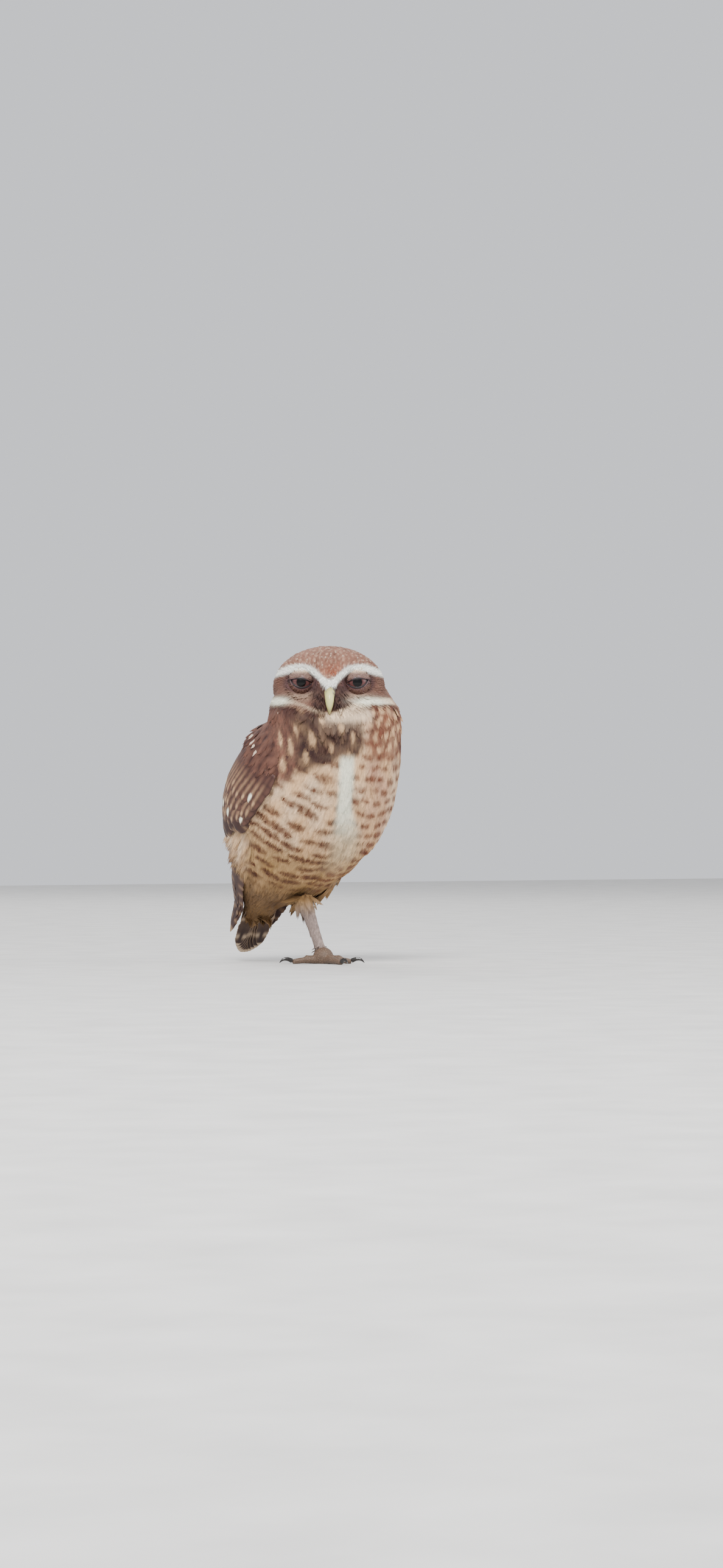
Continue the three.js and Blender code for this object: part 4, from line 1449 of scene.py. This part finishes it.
@dataclass(frozen=True)
class Bill:
    """The hooked upper bill with its cere and nostrils, and the lower bill under it."""

    upper: tuple[tuple[float, float, float, float], ...] = (
        (25, -3, 4, 4.6), (33, -3.4, 3.7, 4), (38, -7.2, 3.1, 3.2), (40.2, -12.4, 2.4, 2.4),
        (39, -18.6, 0.5, 0.5))
    lower: tuple[tuple[float, float, float, float], ...] = (
        (24, -11.4, 3.2, 2.4), (31, -12.8, 2.8, 2.1), (35.6, -15, 2, 1.5), (37, -17.3, 0.9, 0.6))
    nostril: tuple[float, float, float] = (3.1, -35.2, -2.0)
    rings: int = 40
    sides: int = 28

    def loft(self, rows: tuple, steps: int, sides: int, keel: float) -> tuple[Array, list]:
        """A fine closed shell through the rows.

        Args:
            rows: Forward, up, half width and half height at each ring.
            steps: How many rings.
            sides: How many points each has.
            keel: How sharply the ridge stands out.

        Returns:
            The points and the faces.
        """
        path = through(np.array(rows, float), np.linspace(0, len(rows) - 1, steps))
        centre = np.column_stack([np.zeros(steps), -path[:, 0], path[:, 1]])
        run = unit(np.gradient(centre, axis=0))
        top = np.cross(run, (1, 0, 0))
        angles = np.linspace(0, 2 * math.pi, sides, endpoint=False)
        ridge = 1 + keel * np.maximum(0, np.sin(angles)) ** 6
        rings = (centre[:, None] + np.outer(path[:, 2], np.cos(angles))[..., None] * np.array([1.0, 0, 0])
                 + (np.outer(path[:, 3], np.sin(angles) * ridge))[..., None] * top[:, None])
        points, faces = Piece.tube(rings)
        for mirror in (-1, 1):
            away = np.linalg.norm((points - np.array(self.nostril) * (mirror, 1, 1)) * (1, 0.8, 1), axis=1)
            points = points - np.outer(1.3 * hill(away, 1.1) * (keel > 0), (mirror, -0.6, 0.2))
        return points, faces

    def build(self) -> tuple[bpy.types.Object, bpy.types.Object]:
        """Makes both halves in the bird's frame, with their colours."""
        made = []
        for name, rows, keel in (("bill_top", self.upper, 0.12), ("bill_under", self.lower, 0.0)):
            points, faces = self.loft(rows, self.rings, self.sides, keel)
            shape = Piece.mesh(name, HEAD.outward(points), faces)
            holes = (np.array(self.nostril) * (mirror, 1, 1) for mirror in (-1, 1))
            away = np.minimum(*(np.linalg.norm(points - hole, axis=1) for hole in holes))
            Piece.dye(shape.data, layered(
                paint(204, 201, 150),
                (paint(168, 160, 118), step(points[:, 2], -5, -2) * 0.7),
                (paint(150, 142, 104), step(points[:, 2], -14, -17.5) * 0.5),
                # Painted shade: dark ovals where the nostril openings are, over shallow dents.
                (paint(52, 42, 34), hill(away, 1.25) * 0.95),
            ))
            made.append(shape)
        return made[0], made[1]


@dataclass(frozen=True)
class Eye:
    """One eyeball and its half-closed lids."""

    side: int
    pupil: float = 3.1
    iris: float = 6.0
    rings: int = 48
    spokes: int = 72
    lid_inner: float = 8.15
    lid_outer: float = 8.75
    lid_reach: float = 74.0
    tilt: float = 8.0
    lid_spokes: int = 96
    lid_rows: tuple[int, int] = (22, 8)

    @property
    def centre(self) -> Array:
        """The eyeball's centre in the head's frame."""
        return np.array([HEAD.eye[0] * self.side, HEAD.eye[1], HEAD.eye[2]])

    @staticmethod
    def globe(radius: Array, tilt: Array, spin: Array) -> Array:
        """Points at a distance from the centre and angles from and round the eye's axis."""
        out = radius * np.sin(tilt)
        return np.stack([out * np.cos(spin), -radius * np.cos(tilt), out * np.sin(spin)], axis=-1)

    def ball(self) -> bpy.types.Object:
        """The eyeball, with pupil, rayed iris and dark rim coloured at its points."""
        polar = math.pi * (np.linspace(0.012, math.pi - 0.02, self.rings) / math.pi) ** 1.25
        turn = np.linspace(0, 2 * math.pi, self.spokes, endpoint=False)
        tilt, spin = np.meshgrid(polar, turn, indexing="ij")
        points, faces = Piece.tube(self.globe(HEAD.eye_radius + 0.35 * hill(tilt, 0.7), tilt, spin))
        out = np.hypot(points[:, 0], points[:, 2])
        spin = np.arctan2(points[:, 2], points[:, 0])
        rays = 0.5 + 0.3 * np.sin(spin * 23 + 2 * np.sin(spin * 5)) + 0.2 * np.sin(spin * 41)
        colour = mix(paint(124, 92, 90), paint(76, 52, 54), rays * 0.55)
        colour = mix(colour, paint(52, 34, 40), step(out, self.iris - 1.2, self.iris))
        colour = mix(colour, paint(12, 7, 9), step(out, self.pupil + 0.35, self.pupil - 0.15))
        made = Piece.mesh("eyeball_" + self.word, HEAD.outward(points + self.centre), faces)
        Piece.dye(made.data, colour)
        return made

    @property
    def word(self) -> str:
        """The side's name."""
        return "right" if self.side < 0 else "left"

    def opening(self, turn: Array) -> Array:
        """The distance from the eye's axis to the lids' edge, at angles round it."""
        curve = np.linspace(0, 1, 40)[:, None]
        corners = [((-6.9, 0.7), (0, 2.2), (6.9, 0.7)), ((6.9, 0.7), (4.4, -2.7), (0, -2.9)),
                   ((0, -2.9), (-4.4, -2.7), (-6.9, 0.7))]
        edge = np.vstack([(1 - curve) ** 2 * np.array(a) + 2 * curve * (1 - curve) * np.array(b)
                          + curve**2 * np.array(c) for a, b, c in corners])
        angle = math.radians(self.tilt) * self.side
        edge = edge @ np.array([[math.cos(angle), math.sin(angle)], [-math.sin(angle), math.cos(angle)]])
        seen = np.arctan2(edge[:, 1], edge[:, 0])
        order = np.argsort(seen)
        return np.interp(turn, seen[order], np.hypot(*edge[order].T), period=2 * math.pi)

    def lids(self) -> bpy.types.Object:
        """The lids as one closed ring round the opening, creased, with a thick dark edge."""
        turn = np.linspace(-math.pi, math.pi, self.lid_spokes, endpoint=False)
        edge = np.arcsin(np.clip(self.opening(turn) / self.lid_inner, 0, 0.95))
        last = math.radians(self.lid_reach)
        out = np.linspace(0, 1, self.lid_rows[0])
        polar = edge[:, None] + (last - edge[:, None]) * out
        crease = 0.14 * np.sin(out * 26) * step(out, 0.08, 0.2) * (1 - out)
        thick = (self.lid_outer - self.lid_inner) * np.sqrt(np.clip(out / 0.16, 0, 1))
        rise = self.lid_inner + thick + crease
        back = np.linspace(1, 0, self.lid_rows[1])[:-1]
        polar = np.hstack([polar, edge[:, None] + (last - edge[:, None]) * back])
        radius = np.append(rise, np.full(len(back), self.lid_inner))[None] * np.ones((len(turn), 1))
        rings = self.globe(radius, polar, turn[:, None])
        closed = np.concatenate([rings, rings[:1]])
        points, faces = Piece.tube(closed, caps=False)
        sides = rings.shape[1]
        total = len(turn) * sides
        faces = [tuple(v % total for v in face) for face in faces]
        points = points[:total]
        share = np.tile(np.append(out, back), len(turn))
        height = points[:, 2]
        colour = mix(paint(126, 98, 98), paint(160, 136, 130), step(height, 2, 7))
        colour = mix(colour, paint(44, 26, 32), step(share, 0.26, 0.12))
        made = Piece.mesh("lid_" + self.word, HEAD.outward(points + self.centre), faces)
        Piece.dye(made.data, colour)
        return made

    def bed(self, lids: bpy.types.Object) -> bpy.types.Object:
        """A copy of the lids marked for the tiny feathers that cover them up to their dark edge.

        Args:
            lids: The finished ring.

        Returns:
            The marked copy, for the coat alone.
        """
        made = Piece.place("lid_bed", lids.data.copy())
        points = Piece.read(made.data) / MM
        local = HEAD.inward(points) - self.centre
        out = np.hypot(local[:, 0], local[:, 2])
        turn = np.arctan2(local[:, 2], local[:, 0])
        radius = np.linalg.norm(local, axis=1)
        share = out - self.opening(turn)
        grown = step(share, 0.7, 1.3) * (radius > self.lid_inner + 0.25)
        up = local[:, 2]
        colour = mix(PLUMAGE.cheek * 0.95, paint(150, 128, 118), step(up, 1, 3))
        colour = mix(colour, PLUMAGE.cream, step(up, 5.2, 7.2) * 0.85)
        colour = mix(colour, paint(60, 38, 42), step(share, 2.4, 1.0))
        corner = hill(up - 0.6, 1.9) * step(np.abs(local[:, 0]), 5.5, 7)
        colour = mix(colour, paint(66, 44, 48), corner * 0.85)
        inner = step(local[:, 0] * -self.side, 4.5, 7.5) * step(up, 2, -1)
        colour = mix(colour, PLUMAGE.lore, inner * 0.8)
        way = HEAD.outward(local * (1, 0, 1), 0)
        data = made.data
        data.attributes.remove(data.attributes["tint"])
        Piece.store(data, Region.LID.value, grown)
        Piece.dye(data, colour)
        Piece.store(data, "lie", unit(way))
        Piece.store(data, "unwrap", Markings(points).unwrap())
        return made


@dataclass(frozen=True)
class Feet:
    """The scaly toes and the claws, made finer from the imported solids."""

    voxel: float = 0.45
    ankle: float = 4.6
    ankle_height: float = 11.5
    splay: float = 1.15
    toe_rounds: int = 16
    claw_voxel: float = 0.22
    claw_rounds: int = 3

    def smooth(self, name: str, nodes: tuple[str, ...], voxel: float, rounds: int) -> bpy.types.Object:
        """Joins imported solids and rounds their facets.

        Args:
            name: The new piece's name.
            nodes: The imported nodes.
            voxel: The grain of the new surface, in millimetres.
            rounds: How often it is smoothed.

        Returns:
            The new piece.
        """
        work = bmesh.new()
        for node in nodes:
            work.from_mesh(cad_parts[node].data)
        bmesh.ops.remove_doubles(work, verts=work.verts, dist=1e-5)
        data = bpy.data.meshes.new(name)
        work.to_mesh(data)
        work.free()
        made = Piece.place(name, data)
        Piece.fuse(made, voxel, rounds)
        return made

    def narrow(self, toes: bpy.types.Object) -> None:
        """Draws the standing foot's pad in towards the leg, the more the higher it is."""
        points = Piece.read(toes.data) / MM
        high = points[points[:, 2] > points[:, 2].max() - 1.5]
        middle = high[:, :2].mean(axis=0)
        away = np.hypot(*(points[:, :2] - middle).T)
        limit = self.ankle + self.splay * np.maximum(0, self.ankle_height - points[:, 2])
        share = np.where(points[:, 2] > 2.5, np.minimum(1, limit / np.maximum(away, 1e-6)), 1)
        share = 1 - (1 - share) * step(points[:, 2], 2.5, 5)
        points[:, :2] = middle + (points[:, :2] - middle) * share[:, None]
        Piece.move(toes.data, points)

    def build(self) -> list[tuple[bpy.types.Object, str, tuple[str, ...]]]:
        """Makes the toes and claws of both feet.

        Returns:
            Each piece with its slot and the nodes that it stands for.
        """
        made = []
        names = tuple(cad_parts)
        for side in ("right", "left"):
            toes = tuple(n for n in names if n.startswith("toe_" + side) or n == "foot_" + side)
            claws = tuple(n for n in names if n.startswith("claw_" + side))
            made.append((self.smooth("toes_" + side, toes, self.voxel, self.toe_rounds), "toe_skin", toes))
            if side == "right":
                self.narrow(made[-1][0])
            fine = self.smooth("claws_" + side, claws, self.claw_voxel, self.claw_rounds)
            made.append((fine, "claw", claws))
        return made


@dataclass(frozen=True)
class Finish:
    """A material that takes its colour from the points' tint and adds its own fine grain."""

    name: str
    roughness: float = 0.7
    coat: float = 0.0
    ior: float = 1.45
    barbs: bool = False
    grain: float = 900.0
    depth: float = 0.1
    shade: Colour | None = None
    scales: bool = False
    spotted: float = 0.0
    spot: Colour = (0.7, 0.55, 0.42)

    def build(self) -> bpy.types.Material:
        """Builds the node tree.

        Returns:
            The material.
        """
        made = bpy.data.materials.new(self.name)
        made.use_nodes = True
        t = Tree(made.node_tree)
        shader = t.add("ShaderNodeBsdfPrincipled")
        shader.inputs["Coat Weight"].default_value = self.coat
        shader.inputs["IOR"].default_value = self.ior
        shader.inputs["Coat Roughness"].default_value = 0.04
        place = t.add("ShaderNodeTexCoord").outputs["Object"]
        if self.shade is None:
            colour = t.add("ShaderNodeAttribute", attribute_name="tint").outputs["Color"]
        else:
            colour = t.add("ShaderNodeRGB").outputs[0]
            colour.default_value = (*self.shade, 1.0)
        noise = t.add("ShaderNodeTexNoise", place)
        noise.inputs["Scale"].default_value = self.grain
        noise.inputs["Detail"].default_value = 3.0
        value = t.math("MULTIPLY_ADD", noise.outputs["Fac"], 0.36, 0.82)
        height = noise.outputs["Fac"]
        if self.barbs:
            # The barbs group also paints shade towards each feather's root.
            group = t.add("ShaderNodeGroup", node_tree=barbs())
            value = t.times(value, group.outputs["Value"])
            if self.spotted:
                tone = t.add("ShaderNodeAttribute", attribute_name="tone").outputs["Fac"]
                share = t.times(group.outputs["Spot"], t.math("LESS_THAN", tone, self.spotted))
                colour = t.blend(share, colour, (*self.spot, 1.0))
            height = t.plus(group.outputs["Height"], t.times(height, 0.3))
        if self.scales:
            cells = t.add("ShaderNodeTexVoronoi", place, feature="DISTANCE_TO_EDGE")
            cells.inputs["Scale"].default_value = 620.0
            plate = t.math("MINIMUM", t.times(cells.outputs["Distance"], 4.0), 1.0)
            value = t.times(value, t.math("MULTIPLY_ADD", plate, 0.35, 0.7))
            height = t.plus(plate, t.times(height, 0.3))
        t.put(shader.inputs["Base Color"], t.scale(colour, value))
        t.put(shader.inputs["Roughness"],
              t.math("MULTIPLY_ADD", noise.outputs["Fac"], 0.2, self.roughness - 0.1))
        bump = t.add("ShaderNodeBump")
        bump.inputs["Strength"].default_value = 0.6
        bump.inputs["Distance"].default_value = self.depth * MM
        t.put(bump.inputs["Height"], height)
        t.put(shader.inputs["Normal"], bump)
        t.add("ShaderNodeOutputMaterial", shader.outputs[0])
        return made


@cache
def barbs() -> bpy.types.NodeTree:
    """The shared effect of a feather's shaft and barbs, with painted shade towards its root, read from its own
    map.

    Returns:
        The node group, with a brightness that holds the painted root shade, a height and a mask of a spot near
        the tip.
    """
    group = bpy.data.node_groups.new("barbs", "ShaderNodeTree")
    for name in ("Value", "Height", "Spot"):
        group.interface.new_socket(name, in_out="OUTPUT", socket_type="NodeSocketFloat")
    t = Tree(group)
    uv = t.add("ShaderNodeAttribute", attribute_name="Feather").outputs["Vector"]
    split = t.add("ShaderNodeSeparateXYZ", uv)
    side = t.math("ABSOLUTE", t.minus(split.outputs["X"], 0.5))
    line = t.minus(t.times(split.outputs["Y"], 9.0), t.times(side, 10.0))
    wave = t.math("SINE", t.times(line, 14.0))
    shaft = t.minus(1.0, t.math("MINIMUM", t.times(side, 16.0), 1.0))
    tone = t.add("ShaderNodeAttribute", attribute_name="tone").outputs["Fac"]
    # Painted shade: each feather is darker at its root, where its neighbours overlap it, and brighter towards
    # its tip.
    root = t.math("MULTIPLY_ADD", split.outputs["Y"], 0.34, 0.74)
    value = t.times(root, t.math("MULTIPLY_ADD", tone, 0.2, 0.92))
    value = t.times(value, t.math("MULTIPLY_ADD", wave, 0.07, 1.0))
    value = t.times(value, t.math("MULTIPLY_ADD", shaft, 0.1, 1.0))
    height = t.plus(t.times(wave, 0.5), shaft)
    aside = t.times(side, 4.2)
    ahead = t.times(t.minus(split.outputs["Y"], 0.74), 5.5)
    reach = t.math("SQRT", t.plus(t.times(aside, aside), t.times(ahead, ahead)))
    spot = t.add("ShaderNodeMapRange", reach, 0.65, 1.1, 1.0, 0.0).outputs[0]
    t.add("NodeGroupOutput", value, height, spot)
    return group


@dataclass(frozen=True)
class Studio:
    """A pale floor, soft lights and the camera at the photograph's angle."""

    azimuth: float = -35.0
    distance: float = 2.5
    target: tuple[float, float, float] = (0.0206, -0.0145, 0.118)
    camera_height: float = 0.09
    field_height: float = 1.0304
    sensor: float = 36.0
    floor_reach: float = 3000.0

    def build(self) -> None:
        """Sets the stage."""
        corners = np.array([(-1, -1, 0), (1, -1, 0), (1, 1, 0), (-1, 1, 0)]) * self.floor_reach
        floor = Piece.mesh("floor", corners, [(0, 1, 2, 3)])
        floor.data.materials.append(Finish("floor", 0.9, shade=(0.62, 0.61, 0.59), grain=30).build())
        floor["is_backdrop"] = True
        world = bpy.data.worlds.new("room")
        world.use_nodes = True
        sky = world.node_tree.nodes["Background"].inputs
        sky["Color"].default_value = (0.93, 0.95, 1.0, 1)
        sky["Strength"].default_value = 0.95
        bpy.context.scene.world = world
        self.light("key", (-1.4, -1.6, 2.2), 1.0, 125)
        self.light("fill", (1.8, -1.6, 1.1), 1.6, 26)
        self.light("rim", (0.6, 1.8, 1.8), 1.2, 26)
        turn = math.radians(self.azimuth)
        data = bpy.data.cameras.new("camera")
        camera = Piece.place("camera", data)
        target = Vector(self.target)
        camera.location = target + Vector((math.sin(turn), -math.cos(turn), 0)) * self.distance
        camera.location.z = self.camera_height
        camera.rotation_euler = (target - camera.location).to_track_quat("-Z", "Y").to_euler()
        data.sensor_fit = "VERTICAL"
        data.sensor_height = self.sensor
        data.lens = self.sensor * self.distance / self.field_height
        bpy.context.scene.camera = camera

    @staticmethod
    def light(name: str, place: tuple[float, float, float], size: float, power: float) -> None:
        """A square soft light that looks at the bird."""
        data = bpy.data.lights.new(name, "AREA")
        data.size = size
        data.energy = power
        lamp = Piece.place(name, data)
        lamp.location = place
        lamp.rotation_euler = (Vector((0, 0, 0.1)) - lamp.location).to_track_quat("-Z", "Y").to_euler()


FEATHERS = (
    Feather(Region.BREAST, 1.9, 8.6, 5.0, 0.14, seed=1),
    Feather(Region.BELLY, 1.9, 9.6, 5.2, 0.15, seed=2),
    Feather(Region.BACK, 2.3, 9.5, 6.2, 0.13, seed=3),
    Feather(Region.VENT, 2.1, 12.0, 4.4, 0.19, ragged=0.12, seed=4),
    Feather(Region.CROWN, 1.4, 4.8, 2.7, 0.16, across=7, rows=4, seed=5),
    Feather(Region.FACE, 1.0, 3.6, 1.6, 0.2, curl=0.5, across=5, rows=4, seed=6),
    Feather(Region.RIM, 0.8, 2.4, 1.1, 0.24, curl=0.5, across=5, rows=3, seed=7),
    Feather(Region.LORE, 1.3, 7.5, 0.7, 0.34, curl=-0.3, spread=0.35, across=3, rows=5, seed=8),
    Feather(Region.LEG, 1.0, 4.2, 1.6, 0.12, across=5, rows=4, seed=9),
)
COVERTS = Feather(Region.COVERT, 3.0, 10.5, 7.6, 0.17, ragged=0.05, seed=10)
FLANKS = Feather(Region.FLANK, 2.3, 15.0, 5.4, 0.3, curl=0.5, ragged=0.12, spread=0.3, rows=7, seed=11)
TUCKS = Feather(Region.TUCK, 1.7, 15.0, 5.4, 0.55, curl=1.3, ragged=0.12, spread=0.3, rows=7, seed=13)
LIDS = Feather(Region.LID, 0.6, 1.9, 0.85, 0.2, curl=0.4, across=5, rows=3, seed=12)


def main() -> None:
    """Builds the bird's pieces in order, dresses them and sets the studio."""
    logging.basicConfig(level=logging.INFO, format="%(message)s")
    body = Skin()
    skin = body.build()
    pale = Finish("plumage", 0.8, barbs=True, grain=700, depth=0.12).build()
    spotted = Finish("plumage_spotted", 0.8, barbs=True, grain=700, depth=0.12, spotted=0.2).build()
    crowned = Finish("plumage_crown", 0.8, barbs=True, grain=700, depth=0.12, spotted=0.14,
                     spot=(0.5, 0.36, 0.27)).build()
    under = Finish("skin", 0.9, grain=500).build()
    vane = Finish("vane", 0.66, grain=900, depth=0.08).build()
    coat = Coat()
    for feather in FEATHERS:
        finish = {Region.CROWN: crowned, Region.BACK: spotted}.get(feather.region, pale)
        Piece.finish(coat.grow(skin, feather, finish), finish, "plumage_pale")
    Piece.finish(coat.grow(skin, COVERTS, spotted), spotted, "plumage_brown")
    for feather in (FLANKS, TUCKS):
        Piece.finish(coat.grow(skin, feather, pale), pale, "plumage_pale")
    Piece.finish(skin, under, "plumage_pale", body.flesh + body.legs)
    for side, node in ((-1, "wing_right"), (1, "wing_left")):
        Piece.finish(Wing(side).build(), vane, "plumage_brown", (node,))
    Piece.finish(Tail().build(), vane, "plumage_brown", ("tail",))
    horn = Finish("horn", 0.4, coat=0.25, grain=300, depth=0.05).build()
    for piece, node in zip(Bill().build(), ("bill_upper", "bill_lower")):
        Piece.finish(piece, horn, "bill", (node,))
    wet = Finish("wet_eye", 0.16, ior=1.34, grain=400, depth=0.0).build()
    lid = Finish("lid_skin", 0.55, coat=0.1, grain=1500, depth=0.12).build()
    for side in (-1, 1):
        eye = Eye(side)
        Piece.finish(eye.ball(), wet, "eye", ("eye_" + eye.word,))
        lids = eye.lids()
        bed = eye.bed(lids)
        Piece.finish(coat.grow(bed, LIDS, pale, "_" + eye.word), pale, "plumage_pale")
        bpy.data.objects.remove(bed)
        Piece.finish(lids, lid, "lid", ("lids_" + eye.word,))
    toe = Finish("toe_skin", 0.6, shade=tuple(paint(128, 110, 96)), scales=True, grain=700,
                 depth=0.25).build()
    claw = Finish("claw_horn", 0.35, coat=0.3, shade=tuple(paint(48, 40, 36)), grain=500, depth=0.04).build()
    for piece, slot, nodes in Feet().build():
        Piece.finish(piece, toe if slot == "toe_skin" else claw, slot, nodes)
    Studio().build()


if __name__ == "__main__":
    main()
    [[list(map(float, corner)) for corner in box] for box in (CAD_BOX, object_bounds())]
